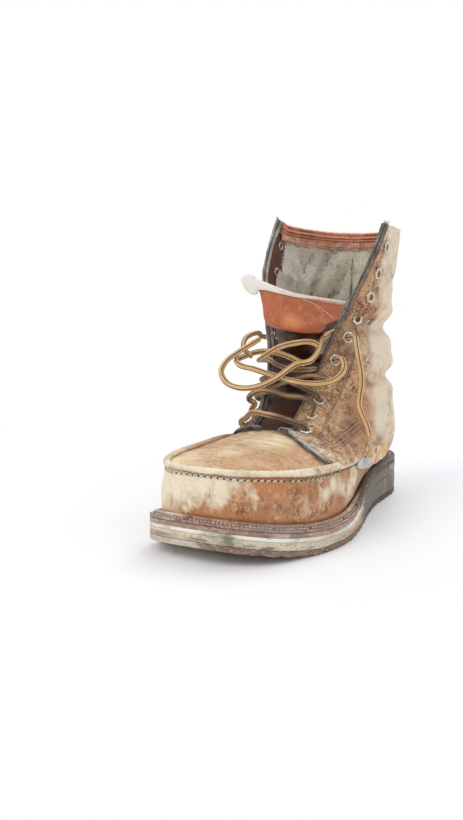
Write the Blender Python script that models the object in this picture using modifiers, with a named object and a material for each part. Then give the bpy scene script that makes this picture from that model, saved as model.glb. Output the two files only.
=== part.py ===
"""Left work boot: wedge sole, welt, moc-toe upper with an open throat, tongue, eyelets and laces.

The toe points to -Y, the heel to +Y, the outer (lateral) side to +X and the inner (medial) side to -X.
The origin is on the floor under the middle of the sole. Tables are in millimetres and MM makes them metres.
"""

import math

import bmesh
import bpy
import numpy as np
from mathutils import Vector

MM = 0.001
GAP = 0.3

# Driving dimensions, mm
LENGTH = 302.0
HALF_LENGTH = LENGTH / 2
TREAD = 4.5
MIDSOLE = 3.2
WELT = 2.7
LEDGE = 7.0
CENTRING = 5.2  # brings the middle of the sole's width over the origin
WALL = 2.4
OVERLAY = 1.4
MOC_ROLL = 2.4

# The sole's outline: the centre line and half width at each y
OUTLINE_COLUMNS = ("y", "centre", "half")
OUTLINE = (
    (-151, -23, 52.0),
    (-115, -14, 55.5),
    (-85, -4, 57.5),
    (-55, 1, 57.5),
    (-20, 2.5, 52.5),
    (20, 1, 45.5),
    (60, -3, 42.5),
    (100, -5, 43.0),
    (151, -6, 43.0),
)
TOE_RADIUS, TOE_POWER = 52.0, 2.8
HEEL_RADIUS, HEEL_POWER = 42.0, 2.3

# The sole from the side: toe spring, level ball and heel, and a wedge that thickens to the heel
PROFILE_COLUMNS = ("y", "underside", "wedge_top")
PROFILE = (
    (-151, 11.0, 24.2),
    (-120, 4.0, 17.5),
    (-90, 0.0, 13.7),
    (-55, 0.0, 13.7),
    (0, 0.0, 19.7),
    (60, 0.0, 26.2),
    (151, 0.0, 30.0),
)

# The upper, one row a station from the toe tip up to the collar. A station's line starts at the ridge of the
# plug or at the throat's edge, turns over the belt line (moc seam, then the widest line of the quarters) and
# ends at the foot: on the ledge at an angle round the outline, or on the heel's centre line at a height.
# edge_dy, edge_dz and belt_dz are what the medial side adds to the lateral side's value.
STATION_COLUMNS = (
    "foot", "back_y", "back_z",
    "edge_lat", "edge_med", "edge_y", "edge_z", "edge_dy", "edge_dz",
    "belt_lat", "belt_med", "belt_y", "belt_z", "belt_dz",
    "arc_start", "arc_end", "foot_arc", "bulge",
)
STATIONS = (
    (0, 144, 0, -23, -23, -141, 63.5, 0, 0, -23, -23, -141, 63.5, 0, 0, 50, 30, 3),
    (15, 144, 0, -21, -21, -132, 66, 0, 0, 5, -45, -137, 62.5, 0.5, 0, 50, 30, 3),
    (30, 144, 0, -19.5, -19.5, -121, 68.5, 0, 0, 25.5, -57.5, -122, 61, 2.5, 0, 50, 30, 3),
    (42, 144, 0, -18, -18, -106, 70.5, 0, 0, 38.5, -59.5, -104, 59, 6, 0, 50, 30, 3),
    (54, 144, 0, -16.5, -16.5, -88, 73, 0, 0, 46, -55, -82, 57.5, 10, 0, 52, 30, 3),
    (66, 144, 0, -15, -15, -69, 76, 0, 0, 50, -51, -57, 56.5, 13, 0, 60, 30, 2.5),
    (77, 144, 0, -12.5, -12.5, -51, 79.8, 0, 0, 50, -47.5, -37, 55.5, 13, 0, 75, 30, 2),
    (84, 144, 0, 3.5, -27, -43, 80.5, 0, 0, 49, -47.5, -22, 54.5, 12, 10, 85, 25, 0.8),
    (94, 144, 0, 2, -31, -25, 89, 0, 0, 46, -46, 6, 54, 9, 18, 90, 22, 0.2),
    (106, 144, 0, 2, -35, -8, 101, 0, 0, 43.5, -46, 34, 56, 6, 25, 90, 22, 0),
    (118, 144, 0, 4, -38, 6, 116, -1, 0, 42.5, -47, 60, 62, 3, 28, 90, 24, 0),
    (131, 144, 0, 7.5, -40.5, 15, 133.5, -3, 0, 43.5, -48, 77, 72, 0, 30, 90, 30, 0),
    (146, 144, 0, 13, -43.5, 21, 150, -5, 0, 43.5, -49, 84, 86, 0, 32, 90, 45, 0),
    (162, 144, 0, 19, -46, 24.5, 162, -7, 0, 42, -49, 85, 100, 0, 35, 90, 65, 0),
    (180, 144, 37, 23.5, -48, 27.5, 171, -9, 0, 38.5, -49, 82, 115, 0, 35, 90, 85, 0),
    (180, 150, 62, 27, -49.5, 29.5, 180, -10, 0, 39, -49.5, 76, 130, 0, 35, 90, 90, 0),
    (180, 149, 95, 31, -51, 31.5, 190, -10, 0, 40.5, -50.5, 70, 147, 0, 35, 90, 90, 0),
    (180, 143, 128, 36, -52.5, 34, 201, -9, 0, 37.5, -50.5, 66, 168, 0, 35, 90, 90, 0),
    (180, 141, 165, 41, -52.5, 36.5, 213, -7.5, 0, 39.5, -51, 64, 190, 0, 40, 90, 90, 0),
    (180, 144, 203, 46, -51, 38.5, 226, -5, 2, 44, -52, 62, 214, 1.5, 45, 90, 90, 0),
    (180, 147, 240, 50.5, -46, 41, 241, -3, 7, 47.5, -52.5, 62, 240, 4, 50, 90, 90, 0),
)
THROAT, HEEL_STATION, COLLAR = 6, 14, len(STATIONS) - 1
QUARTER_FRONT, QUARTER_REAR = 6.15, 9.7
LATERAL, MEDIAL = 1, -1


def column(table, names, name):
    return np.array([row[names.index(name)] for row in table], float)


def smooth(xs, ys, x):
    """A smooth curve through the points (xs, ys), with the slope at each point from its neighbours."""
    x = np.clip(np.asarray(x, float), xs[0], xs[-1])
    step = np.diff(xs)
    slope = np.diff(ys) / step
    tangent = np.empty_like(ys)
    tangent[1:-1] = (slope[:-1] * step[1:] + slope[1:] * step[:-1]) / (step[:-1] + step[1:])
    tangent[0], tangent[-1] = slope[0], slope[-1]
    i = np.clip(np.searchsorted(xs, x, side="right") - 1, 0, len(xs) - 2)
    t = (x - xs[i]) / step[i]
    ends = (1 + 2 * t) * (1 - t) ** 2 * ys[i] + t * t * (3 - 2 * t) * ys[i + 1]
    return ends + step[i] * (t * (1 - t) ** 2 * tangent[i] + t * t * (t - 1) * tangent[i + 1])


def outline(name, y):
    return smooth(column(OUTLINE, OUTLINE_COLUMNS, "y"), column(OUTLINE, OUTLINE_COLUMNS, name), y)


def profile(name, y):
    return smooth(column(PROFILE, PROFILE_COLUMNS, "y"), column(PROFILE, PROFILE_COLUMNS, name), y)


def station(name, s):
    rows = np.arange(len(STATIONS), dtype=float)
    return smooth(rows, column(STATIONS, STATION_COLUMNS, name), s)


def rim(angle, inset, side):
    """x, y of the sole's outline moved in by inset, at an angle from the toe (0) round a side to the heel."""
    y = -(HALF_LENGTH - inset) * np.cos(np.radians(angle))
    toe = np.clip((TOE_RADIUS - HALF_LENGTH + inset - y) / TOE_RADIUS, 0, 1)
    heel = np.clip((y - HALF_LENGTH + inset + HEEL_RADIUS) / HEEL_RADIUS, 0, 1)
    ends = (1 - toe**TOE_POWER) ** (1 / TOE_POWER) * (1 - heel**HEEL_POWER) ** (1 / HEEL_POWER)
    return outline("centre", y) + side * (outline("half", y) - inset) * ends, y


def ledge_top(y):
    return profile("wedge_top", y) + GAP + MIDSOLE + GAP + WELT


def upper_point(s, q, side):
    """The upper's base surface: s counts stations, q runs from the edge (0) by the belt (1) to the foot."""
    s, q = np.broadcast_arrays(np.asarray(s, float), np.asarray(q, float))
    lateral = side == LATERAL
    middle = (station("edge_lat", s) + station("edge_med", s)) / 2
    half_gap = (station("edge_lat", s) - station("edge_med", s)) / 2
    first_gap = (station("edge_lat", THROAT + 1) - station("edge_med", THROAT + 1)) / 2
    opening = np.clip(s - THROAT, 0, 1)
    half_gap = np.where(s < THROAT + 1, first_gap * np.sqrt(opening), half_gap)
    edge = np.stack([
        middle + side * half_gap,
        station("edge_y", s) + (0 if lateral else station("edge_dy", s)),
        station("edge_z", s) + (0 if lateral else station("edge_dz", s)),
    ], -1)
    belt = np.stack([
        station("belt_lat" if lateral else "belt_med", s),
        station("belt_y", s),
        station("belt_z", s) + (0 if lateral else station("belt_dz", s)),
    ], -1)
    foot_angle = np.clip(station("foot", s), 0, 180)
    foot_x, foot_y = rim(foot_angle, LEDGE, side)
    at_heel = s > HEEL_STATION
    foot_y = np.where(at_heel, station("back_y", s), foot_y)
    foot_z = np.where(at_heel, station("back_z", s), ledge_top(foot_y) + GAP)
    foot_x = np.where(at_heel, outline("centre", HALF_LENGTH), foot_x)
    foot = np.stack([foot_x, foot_y, foot_z], -1)

    start, end = np.radians(station("arc_start", s)), np.radians(station("arc_end", s))
    turn = start + (end - start) * np.clip(q, 0, 1)
    across = (np.sin(turn) - np.sin(start)) / (np.sin(end) - np.sin(start))
    down = (np.cos(start) - np.cos(turn)) / (np.cos(start) - np.cos(end))
    over = np.stack([across, down, down], -1) * (belt - edge) + edge

    arc = np.radians(station("foot_arc", s))
    turn = arc * np.clip(q - 1, 0, 1)
    across = (1 - np.cos(turn)) / (1 - np.cos(arc))
    down = np.sin(turn) / np.sin(arc)
    under = np.stack([across, down, down], -1) * (foot - belt) + belt
    ahead = np.array(rim(np.clip(foot_angle + 1, 1, 180), LEDGE, side))
    behind = np.array(rim(np.clip(foot_angle - 1, 0, 179), LEDGE, side))
    along = ahead - behind
    outward = np.stack([side * along[1], -side * along[0], 0 * along[0]], -1)
    outward /= np.linalg.norm(outward, axis=-1, keepdims=True)
    bulge = station("bulge", s) * np.sin(np.pi * np.clip(q - 1, 0, 1))
    return np.where((q <= 1)[..., None], over, under + outward * bulge[..., None])


def upper_normal(s, q, side):
    s, q = np.broadcast_arrays(np.asarray(s, float), np.asarray(q, float))
    near = 0.02
    s0, s1 = np.clip(s - near, 0.3, COLLAR), np.clip(s + near, 0.34, COLLAR)
    q0, q1 = np.clip(q - near, 0, 2), np.clip(q + near, 0, 2)
    along = upper_point(s1, q, side) - upper_point(s0, q, side)
    across = upper_point(np.maximum(s, 0.3), q1, side) - upper_point(np.maximum(s, 0.3), q0, side)
    normal = side * np.cross(across, along)
    return normal / np.linalg.norm(normal, axis=-1, keepdims=True)


def ramp(value, low, high):
    t = np.clip((value - low) / (high - low), 0, 1)
    return t * t * (3 - 2 * t)


def overlay_height(s, q):
    """How far the outside stands off the base surface: the quarters' overlay and the moc seam's roll."""
    front = ramp(s, QUARTER_FRONT - 0.04, QUARTER_FRONT + 0.04)
    rear = ramp(s, QUARTER_REAR - 0.03, QUARTER_REAR + 0.03)
    above_belt = 1 - ramp(q, 1.0, 1.05)
    tucked_foot = 1 - ramp(q, 1.7, 1.92)
    quarter = OVERLAY * front * np.maximum(above_belt, rear) * tucked_foot
    roll = MOC_ROLL * ramp(q, 0.92, 0.97) * (1 - ramp(q, 1.0, 1.05)) * (1 - front)
    return quarter + roll


# Building blocks


def clear_scene():
    for item in list(bpy.data.objects):
        bpy.data.objects.remove(item, do_unlink=True)


def linear(hex_colour):
    def channel(text):
        value = int(text, 16) / 255
        return value / 12.92 if value <= 0.04045 else ((value + 0.055) / 1.055) ** 2.4
    return [channel(hex_colour[i : i + 2]) for i in (1, 3, 5)] + [1.0]


def material(name, hex_colour, roughness, metallic=0.0):
    made = bpy.data.materials.new(name)
    made.use_nodes = True
    shader = made.node_tree.nodes["Principled BSDF"]
    shader.inputs["Base Color"].default_value = linear(hex_colour)
    shader.inputs["Roughness"].default_value = roughness
    shader.inputs["Metallic"].default_value = metallic
    made.diffuse_color = linear(hex_colour)
    return made


def collection(name, hidden=False):
    made = bpy.data.collections.new(name)
    made.hide_render = hidden
    bpy.context.scene.collection.children.link(made)
    return made


def add(mesh_or_curve, name, made_of, home):
    item = bpy.data.objects.new(name, mesh_or_curve)
    mesh_or_curve.materials.append(made_of)
    home.objects.link(item)
    return item


def finish_mesh(bm, name, made_of, home, sharp=40):
    """Welds points that coincide, turns the faces outwards and shades the mesh smooth up to sharp degrees."""
    bmesh.ops.remove_doubles(bm, verts=bm.verts, dist=1e-6)
    bmesh.ops.dissolve_degenerate(bm, edges=bm.edges, dist=1e-6)
    bmesh.ops.recalc_face_normals(bm, faces=bm.faces)
    mesh = bpy.data.meshes.new(name)
    bm.to_mesh(mesh)
    bm.free()
    mesh.shade_smooth()
    mesh.set_sharp_from_angle(angle=math.radians(sharp))
    return add(mesh, name, made_of, home)


def loft(rings, name, made_of, home, closed_path=False):
    """Joins rings of equal point counts, in mm, into one closed body; an end ring may shrink to a line."""
    bm = bmesh.new()
    rows = [[bm.verts.new(Vector(point) * MM) for point in ring] for ring in rings]
    pairs = list(zip(rows, rows[1:] + rows[:1])) if closed_path else list(zip(rows, rows[1:]))
    for row, after in pairs:
        for i in range(len(row)):
            k = (i + 1) % len(row)
            bm.faces.new((row[i], row[k], after[k], after[i]))
    return finish_mesh(bm, name, made_of, home)


def capped_loft(rings, name, made_of, home):
    """A loft whose first and last rings are closed with quads between their front and back halves."""
    bm = bmesh.new()
    rows = [[bm.verts.new(Vector(point) * MM) for point in ring] for ring in rings]
    size = len(rows[0])
    for row, after in zip(rows, rows[1:]):
        for i in range(size):
            k = (i + 1) % size
            bm.faces.new((row[i], row[k], after[k], after[i]))
    for row in (rows[0], rows[-1]):
        for i in range(size // 2 - 1):
            bm.faces.new((row[i], row[i + 1], row[size - 2 - i], row[size - 1 - i]))
    return finish_mesh(bm, name, made_of, home)


# Sole


def cross_section(angle, corners):
    """A ring across the sole at an angle: the lateral corners from the top down, the medial ones back up.

    A corner is an inset from the outline and a function that gives its height at y."""
    ring = []
    for side, order in ((LATERAL, corners), (MEDIAL, corners[::-1])):
        for inset, height in order:
            x, y = rim(angle, inset, side)
            ring.append((x, y, height(y)))
    return ring


def even_angles(count):
    return np.linspace(0, 180, count + 1)


def underside(rise):
    return lambda y: np.maximum(profile("underside", y), 0) + rise


def wedge_top(rise):
    return lambda y: profile("wedge_top", y) + rise


RIPPLE_PITCH, RIPPLE_WIDTH, RIPPLE_DEPTH, RIPPLE_REACH = 12.0, 4.0, 1.3, 132.0
CHAMFER = 0.8


def make_outsole(made_of, home):
    """The tread layer, with a row at each edge of each cross ripple."""
    rows = [(angle, 0.0) for angle in (0, 3, 7, 12, 18, 24, 156, 163, 169, 174, 180)]
    for middle in np.arange(-RIPPLE_REACH, RIPPLE_REACH, RIPPLE_PITCH):
        for share, depth in ((-0.5, 0.0), (-0.25, RIPPLE_DEPTH), (0.25, RIPPLE_DEPTH), (0.5, 0.0)):
            y = middle + share * RIPPLE_WIDTH
            rows.append((math.degrees(math.acos(-y / HALF_LENGTH)), depth))
    rings = []
    for angle, depth in sorted(rows):
        corners = ((0.0, underside(TREAD)), (0.0, underside(depth + CHAMFER)), (CHAMFER, underside(depth)))
        rings.append(cross_section(angle, corners))
    return loft(rings, "outsole", made_of, home)


GROOVE_DEPTH, GROOVE_WIDTH = 0.8, 1.2


def make_wedge(made_of, home):
    """The foam wedge, with a shallow groove round its side two thirds of the way up."""
    def at(share, rise=0.0):
        bottom = TREAD + GAP
        return lambda y: (1 - share) * underside(bottom)(y) + share * wedge_top(0)(y) + rise
    half_groove = GROOVE_WIDTH / 2
    corners = (
        (0.0, at(1)),
        (0.0, at(0.66, half_groove)),
        (GROOVE_DEPTH, at(0.66)),
        (0.0, at(0.66, -half_groove)),
        (0.0, at(0)),
    )
    return loft([cross_section(angle, corners) for angle in even_angles(36)], "wedge", made_of, home)


def make_midsole(made_of, home):
    corners = ((0.0, wedge_top(GAP + MIDSOLE)), (0.0, wedge_top(GAP)))
    return loft([cross_section(angle, corners) for angle in even_angles(36)], "midsole", made_of, home)


WELT_INNER = 10.6
RIB_OUTER, RIB_INNER, RIB_TOE, RIB_HEEL = 3.2, 5.6, 3.0, 1.2
RIB_FADE = (-30, 10)


def make_welt(made_of, home):
    """A strip all round the sole: the stitched ledge, and inside it a rounded rib that hugs the upper."""
    base = GAP + MIDSOLE + GAP
    top = base + WELT
    section = (
        (0.0, base, 0), (0.0, top, 0), (RIB_OUTER, top, 0), (RIB_OUTER + 0.4, top, 0.8),
        (RIB_OUTER + 1.2, top, 1), (RIB_INNER, top, 0.7), (RIB_INNER + 0.4, top, 0),
        (WELT_INNER, top, 0), (WELT_INNER, base, 0),
    )
    path = [(angle, LATERAL) for angle in even_angles(36)]
    path += [(angle, MEDIAL) for angle in even_angles(36)[-2:0:-1]]
    rings = []
    for angle, side in path:
        ring = []
        for inset, rise, rib in section:
            x, y = rim(angle, inset, side)
            height = RIB_TOE + (RIB_HEEL - RIB_TOE) * ramp(y, *RIB_FADE)
            ring.append((x, y, wedge_top(rise)(y) + rib * height))
        rings.append(ring)
    return loft(rings, "welt", made_of, home, closed_path=True)


INSOLE_INSET, INSOLE_THICKNESS = 11.0, 5.0


def make_insole(made_of, home):
    base = GAP + MIDSOLE + GAP
    corners = (
        (INSOLE_INSET + 1.0, wedge_top(base + INSOLE_THICKNESS)),
        (INSOLE_INSET, wedge_top(base + INSOLE_THICKNESS - 1.0)),
        (INSOLE_INSET, wedge_top(base)),
    )
    return loft([cross_section(angle, corners) for angle in even_angles(28)], "insole", made_of, home)


# Upper

STATION_LINES = np.concatenate([
    np.linspace(0, THROAT, 11),
    [6.05, QUARTER_FRONT - 0.04, QUARTER_FRONT + 0.04, 6.45, 7, 7.6, 8.3, 9],
    [QUARTER_REAR - 0.04, QUARTER_REAR + 0.04, 10.5, 11.4, 12.3, 13.2],
    np.arange(HEEL_STATION, COLLAR + 1),
])
AROUND_LINES = np.array([0, 0.25, 0.5, 0.75, 0.92, 0.97, 1.0, 1.05, 1.25, 1.5, 1.75, 1.92, 2])


def leather_point(s, q, side, depth):
    """A point in the upper's wall, depth under its base surface; negative on the outside of an overlay."""
    return upper_point(s, q, side) - upper_normal(s, q, side) * np.asarray(depth)[..., None]


def make_upper(made_of, home):
    """The shell: an outer sheet with the overlays' steps, an inner sheet, and strips to join their borders."""
    s, q = np.meshgrid(STATION_LINES, AROUND_LINES, indexing="ij")
    bm = bmesh.new()
    sheets = {}
    for side in (LATERAL, MEDIAL):
        for skin, depth in (("outer", -overlay_height(s, q)), ("inner", WALL + 0 * s)):
            points = leather_point(s, q, side, depth)
            sheets[side, skin] = points
    first, heel = THROAT, HEEL_STATION
    for skin in ("outer", "inner"):
        pair = sheets[LATERAL, skin], sheets[MEDIAL, skin]
        joined = (s <= first) & (q == 0) | (s == 0) | (s >= heel) & (q == 2)
        middle = (pair[0] + pair[1]) / 2
        toe_cap = middle[0, 0]
        for points in pair:
            points[joined] = middle[joined]
            points[(s == 0) & (q < 0.95)] = toe_cap
    rows = {
        key: [[bm.verts.new(Vector(point) * MM) for point in line] for line in points]
        for key, points in sheets.items()
    }
    count, across = s.shape

    def face(*corners):
        bm.faces.new(corners)

    for grid in rows.values():
        for i in range(count - 1):
            for j in range(across - 1):
                face(grid[i][j], grid[i + 1][j], grid[i + 1][j + 1], grid[i][j + 1])
    for side in (LATERAL, MEDIAL):
        outer, inner = rows[side, "outer"], rows[side, "inner"]
        for i in range(count - 1):
            if STATION_LINES[i] >= first:
                face(outer[i][0], outer[i + 1][0], inner[i + 1][0], inner[i][0])
            if STATION_LINES[i] < heel:
                face(outer[i][-1], outer[i + 1][-1], inner[i + 1][-1], inner[i][-1])
        for j in range(across - 1):
            face(outer[-1][j], outer[-1][j + 1], inner[-1][j + 1], inner[-1][j])
    return finish_mesh(bm, "upper", made_of, home)


# Tongue

TONGUE, TONGUE_CLEARANCE = 2.6, 1.2
TONGUE_ROOT_COLUMNS = ("station", "tuck", "crown")
TONGUE_ROOT = (
    (5.3, 0.34, 0),
    (6.0, 0.32, 0),
    (7.0, 0.20, 0.5),
    (8.0, 0.19, 2),
    (9.0, 0.16, 3),
    (10.0, 0.11, 3),
    (10.8, 0.03, 3),
)
# The free end, slumped forward: x, y, z at five places across it, from the medial edge to the lateral one
TONGUE_END = (
    ((-30, 10, 142), (-24, 3, 143), (-12, -2, 142), (-3, 2, 141), (4, 10, 140)),
    ((-36, 5, 160), (-29, -6, 159), (-8, -13, 152.5), (6, -6, 152), (16, 8, 157)),
    ((-43, 1, 179), (-34, -11, 176), (-8, -15, 168), (10, -5, 165), (22, 12, 169)),
    ((-50, -9, 199.5), (-37, -14, 194.5), (-8, -13, 184.5), (10, -2, 180.5), (23.5, 18, 177)),
)


def tongue_cage():
    """Rows of five points through the middle of the tongue's thickness, from its root to its free end."""
    depth = WALL + TONGUE_CLEARANCE + TONGUE / 2
    cage = []
    for s, tuck, crown in TONGUE_ROOT:
        mid = tuck / 2 if s <= THROAT else 0.0
        outer_edges = [leather_point(s, tuck, side, depth) for side in (MEDIAL, LATERAL)]
        inner_edges = [leather_point(s, mid, side, depth) for side in (MEDIAL, LATERAL)]
        centre = sum(leather_point(s, 0.0, side, depth) for side in (MEDIAL, LATERAL)) / 2
        outward = sum(upper_normal(s, 0.0, side) for side in (MEDIAL, LATERAL))
        centre = centre + crown * outward / np.linalg.norm(outward)
        cage.append((outer_edges[0], inner_edges[0], centre, inner_edges[1], outer_edges[1]))
    return np.array(cage + list(TONGUE_END), float)


def smooth_grid(cage, rows, columns):
    """Points on the smooth surface through a cage, at fractional row and column numbers."""
    def along_first(points, at):
        knots = np.arange(len(points), dtype=float)
        flat = points.reshape(len(points), -1)
        lines = np.stack([smooth(knots, line, at) for line in flat.T], -1)
        return lines.reshape((len(at),) + points.shape[1:])
    by_row = along_first(cage, np.asarray(rows, float))
    return along_first(by_row.swapaxes(0, 1), np.asarray(columns, float)).swapaxes(0, 1)


def sheet_normals(points):
    normals = np.cross(np.gradient(points, axis=1), np.gradient(points, axis=0))
    return normals / np.linalg.norm(normals, axis=-1, keepdims=True)


def make_tongue(made_of, home):
    cage = tongue_cage()
    points = smooth_grid(cage, np.linspace(0, len(cage) - 1, 20), np.linspace(0, 4, 10))
    offset = sheet_normals(points) * TONGUE / 2
    rings = [list(front) + list(back[::-1]) for front, back in zip(points + offset, points - offset)]
    return capped_loft(rings, "tongue", made_of, home)


# Eyelets, ten a side: the station of each along the throat, and how far it sits in from the edge

EYELETS = (
    (7.1, 13.0), (8.15, 10.7), (9.1, 10.8), (10.1, 10.4), (11.1, 10.0),
    (12.45, 11.3), (14.2, 13.0), (16.2, 14.0), (17.9, 15.0), (19.2, 14.0),
)
FLANGE, BARREL, BORE = 5.0, 2.9, 2.2
STANDOFF, FLANGE_HEIGHT = 0.6, 1.5
HOLE, PEG = 3.6, 14.0
SIDES = 8


def setback(s, side, distance):
    """The q that lies a distance in from the throat's edge, along station s."""
    q = np.linspace(0, 2, 81)
    line = upper_point(s, q, side)
    run = np.concatenate([[0], np.cumsum(np.linalg.norm(np.diff(line, axis=0), axis=1))])
    return float(np.interp(distance, run, q))


def eyelet_place(number, side):
    """The middle of an eyelet on the eyestay's face, and the direction that it faces."""
    s, distance = EYELETS[number - 1]
    q = setback(s, side, distance)
    return leather_point(s, q, side, -OVERLAY), upper_normal(s, q, side)


def facing(normal):
    return Vector(normal).to_track_quat("Z", "Y").to_euler()


def every_eyelet():
    for side, word in ((LATERAL, "outer"), (MEDIAL, "inner")):
        for number in range(1, len(EYELETS) + 1):
            yield f"eyelet_{word}_{number}", *eyelet_place(number, side)


def eyelet_profile():
    """Half the cut through an eyelet: flange, barrel and bore, turned round Z by a Screw modifier."""
    base = -(WALL + OVERLAY) - 0.2
    corners = (
        (FLANGE - 0.7, FLANGE_HEIGHT), (FLANGE, STANDOFF), (BARREL, STANDOFF),
        (BARREL, base), (BORE, base), (BORE + 0.3, FLANGE_HEIGHT),
    )
    mesh = bpy.data.meshes.new("eyelet_profile")
    points = [(x * MM, 0, z * MM) for x, z in corners]
    mesh.from_pydata(points, [(i, (i + 1) % len(points)) for i in range(len(points))], [])
    return mesh


def make_eyelets(made_of, home):
    mesh = eyelet_profile()
    mesh.materials.append(made_of)
    for name, middle, normal in every_eyelet():
        eyelet = bpy.data.objects.new(name, mesh)
        eyelet.location = Vector(middle) * MM
        eyelet.rotation_euler = facing(normal)
        turn = eyelet.modifiers.new("turn", "SCREW")
        turn.steps = turn.render_steps = SIDES
        turn.use_merge_vertices = True
        turn.merge_threshold = 1e-5
        home.objects.link(eyelet)


def punch_eyelet_holes(upper, cutters):
    """Cuts the eyelets' holes with one hidden mesh of pegs, and returns it."""
    bm = bmesh.new()
    for _, middle, normal in every_eyelet():
        place = facing(normal).to_matrix().to_4x4()
        place.translation = Vector(middle) * MM
        bmesh.ops.create_cone(
            bm,
            cap_ends=True,
            segments=SIDES,
            radius1=HOLE * MM,
            radius2=HOLE * MM,
            depth=PEG * MM,
            matrix=place,
        )
    mesh = bpy.data.meshes.new("eyelet_holes")
    bm.to_mesh(mesh)
    bm.free()
    cutter = bpy.data.objects.new("eyelet_holes", mesh)
    cutter.display_type = "WIRE"
    cutter.hide_render = True
    cutters.objects.link(cutter)
    upper.modifiers.new("flat_faces", "TRIANGULATE")
    cut = upper.modifiers.new("eyelet_holes", "BOOLEAN")
    cut.operation = "DIFFERENCE"
    cut.object = cutter
    return cutter


# Lace

LACE = 2.0
LACE_SEAT = FLANGE_HEIGHT + LACE + GAP
LACE_LEAD = 8.5
POINT_SPACING = 8.0
# Each run of lace: the eyelets that it starts and ends at, or None at a loose end, and its middle line
ROUTES = {
    "lace_bar_1": ((LATERAL, 1), (MEDIAL, 1), ((3, -44, 88), (-15, -45.5, 91.5), (-29, -43, 91.5))),
    "lace_bar_2": (
        (LATERAL, 2),
        (MEDIAL, 2),
        (
            (15, -20.5, 96.5), (7, -18.5, 102), (-9, -21, 104),
            (-25, -20, 107), (-37, -21, 105.5), (-43.5, -20, 99),
        ),
    ),
    "lace_loop_outer": (
        (LATERAL, 5),
        None,
        (
            (28, 6, 132.5), (32, 0, 127), (32, -8, 121), (28, -15, 117),
            (20, -20, 115), (4, -27, 116), (-15, -29, 120), (-33, -31, 125),
            (-48, -29, 128), (-53, -24, 131), (-49, -17, 134), (-42, -9, 137),
            (-34, -7, 138), (-21, -10, 137), (-10, -11, 134), (-1, -6, 129),
        ),
    ),
    "lace_loop_inner": (
        None,
        None,
        (
            (10.5, 3.3, 147.9), (11, -6, 138), (8, -14, 132), (-1, -21, 129.5),
            (-6, -27, 125), (-12, -35, 119), (-20, -38, 114.5), (-31, -41, 111),
            (-43, -43, 111), (-54, -41, 115), (-60, -37, 123), (-58, -33, 130),
            (-52, -25, 137), (-45, -17, 143), (-38, -13, 148),
        ),
    ),
    "lace_strand": (
        None,
        None,
        ((-36, -17, 131), (-25, -19, 138), (-14, -19, 143.5), (-4.5, -14.3, 146), (3.2, -9.3, 147)),
    ),
    "lace_end_outer": (
        (LATERAL, 6),
        None,
        (
            (33, 20, 150), (37, 14, 142.5), (41, 9, 132), (44, 6, 123), (45, 5, 114), (44.5, 3, 105),
            (45.5, -1, 97), (50, -6, 90), (55, -9, 83), (58, -11, 76.5),
        ),
    ),
}
TIP = ((58.2, -11.2, 75.4), (59, -11.5, 66), (59.5, -11.6, 59))
TIP_RADIUS = 1.6


def evenly(points, spacing):
    """Points at even steps along the smooth curve through some hand-placed points."""
    points = np.array(points, float)
    run = np.concatenate([[0], np.cumsum(np.linalg.norm(np.diff(points, axis=0), axis=1))])
    steps = max(2, round(run[-1] / spacing))
    return np.stack([smooth(run, line, np.linspace(0, run[-1], steps + 1)) for line in points.T], -1)


def cord(points, name, radius, made_of, home):
    curve = bpy.data.curves.new(name, "CURVE")
    curve.dimensions = "3D"
    curve.bevel_depth = radius * MM
    curve.bevel_resolution = 2
    curve.use_fill_caps = True
    spline = curve.splines.new("POLY")
    spline.points.add(len(points) - 1)
    for knot, point in zip(spline.points, points):
        knot.co = (*(Vector(point) * MM), 1)
    return add(curve, name, made_of, home)


def lead_out(eyelet, towards):
    """The first two points of a lace at an eyelet, flat on its flange and heading for the next point."""
    side, number = eyelet
    middle, normal = eyelet_place(number, side)
    seat = middle + normal * LACE_SEAT
    ahead = np.array(towards) - seat
    ahead -= normal * (ahead @ normal)
    return [seat, seat + ahead / np.linalg.norm(ahead) * LACE_LEAD]


def make_lace(made_of, tip_made_of, home):
    for name, (first, last, route) in ROUTES.items():
        points = list(route)
        if first:
            points = lead_out(first, route[0]) + points
        if last:
            points += lead_out(last, route[-1])[::-1]
        cord(evenly(points, POINT_SPACING), name, LACE, made_of, home)
    cord(evenly(TIP, POINT_SPACING), "lace_tip", TIP_RADIUS, tip_made_of, home)


def stand_on_origin(home, cutter):
    """Parents every piece, and the cutter with them, to an empty that carries the boot onto its origin."""
    carrier = bpy.data.objects.new("boot", None)
    carrier.location.x = CENTRING * MM
    for piece in (*home.objects, cutter):
        piece.parent = carrier
    home.objects.link(carrier)


def main():
    clear_scene()
    home = collection("work_boot")
    make_outsole(material("tread_rubber", "#7d6355", 0.8), home)
    make_wedge(material("wedge_foam", "#cbb59b", 0.85), home)
    make_midsole(material("midsole_leather", "#6d4a3c", 0.7), home)
    make_welt(material("welt_leather", "#8a5c45", 0.65), home)
    make_insole(material("insole_leather", "#a98663", 0.8), home)
    upper = make_upper(material("upper_leather", "#bd9570", 0.6), home)
    cutter = punch_eyelet_holes(upper, collection("work_boot_cutters", hidden=True))
    make_tongue(material("tongue_leather", "#b1643f", 0.45), home)
    make_eyelets(material("eyelet_nickel", "#c9c2b4", 0.3, metallic=1.0), home)
    make_lace(material("lace_cotton", "#d2ad73", 0.8), material("lace_tip_plastic", "#e6dccb", 0.4), home)
    stand_on_origin(home, cutter)


main()
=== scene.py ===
"""Worn left work boot, dressed: leather panels, seams, lining, eyelets, laces and a muddy wedge sole.

Tables and routes are in millimetres, before CENTRING, with the toe to -Y and the outer (lateral) side to +X.
"""
import math

import bpy
import numpy as np
from mathutils import Matrix, Vector
from mathutils.kdtree import KDTree

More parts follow.
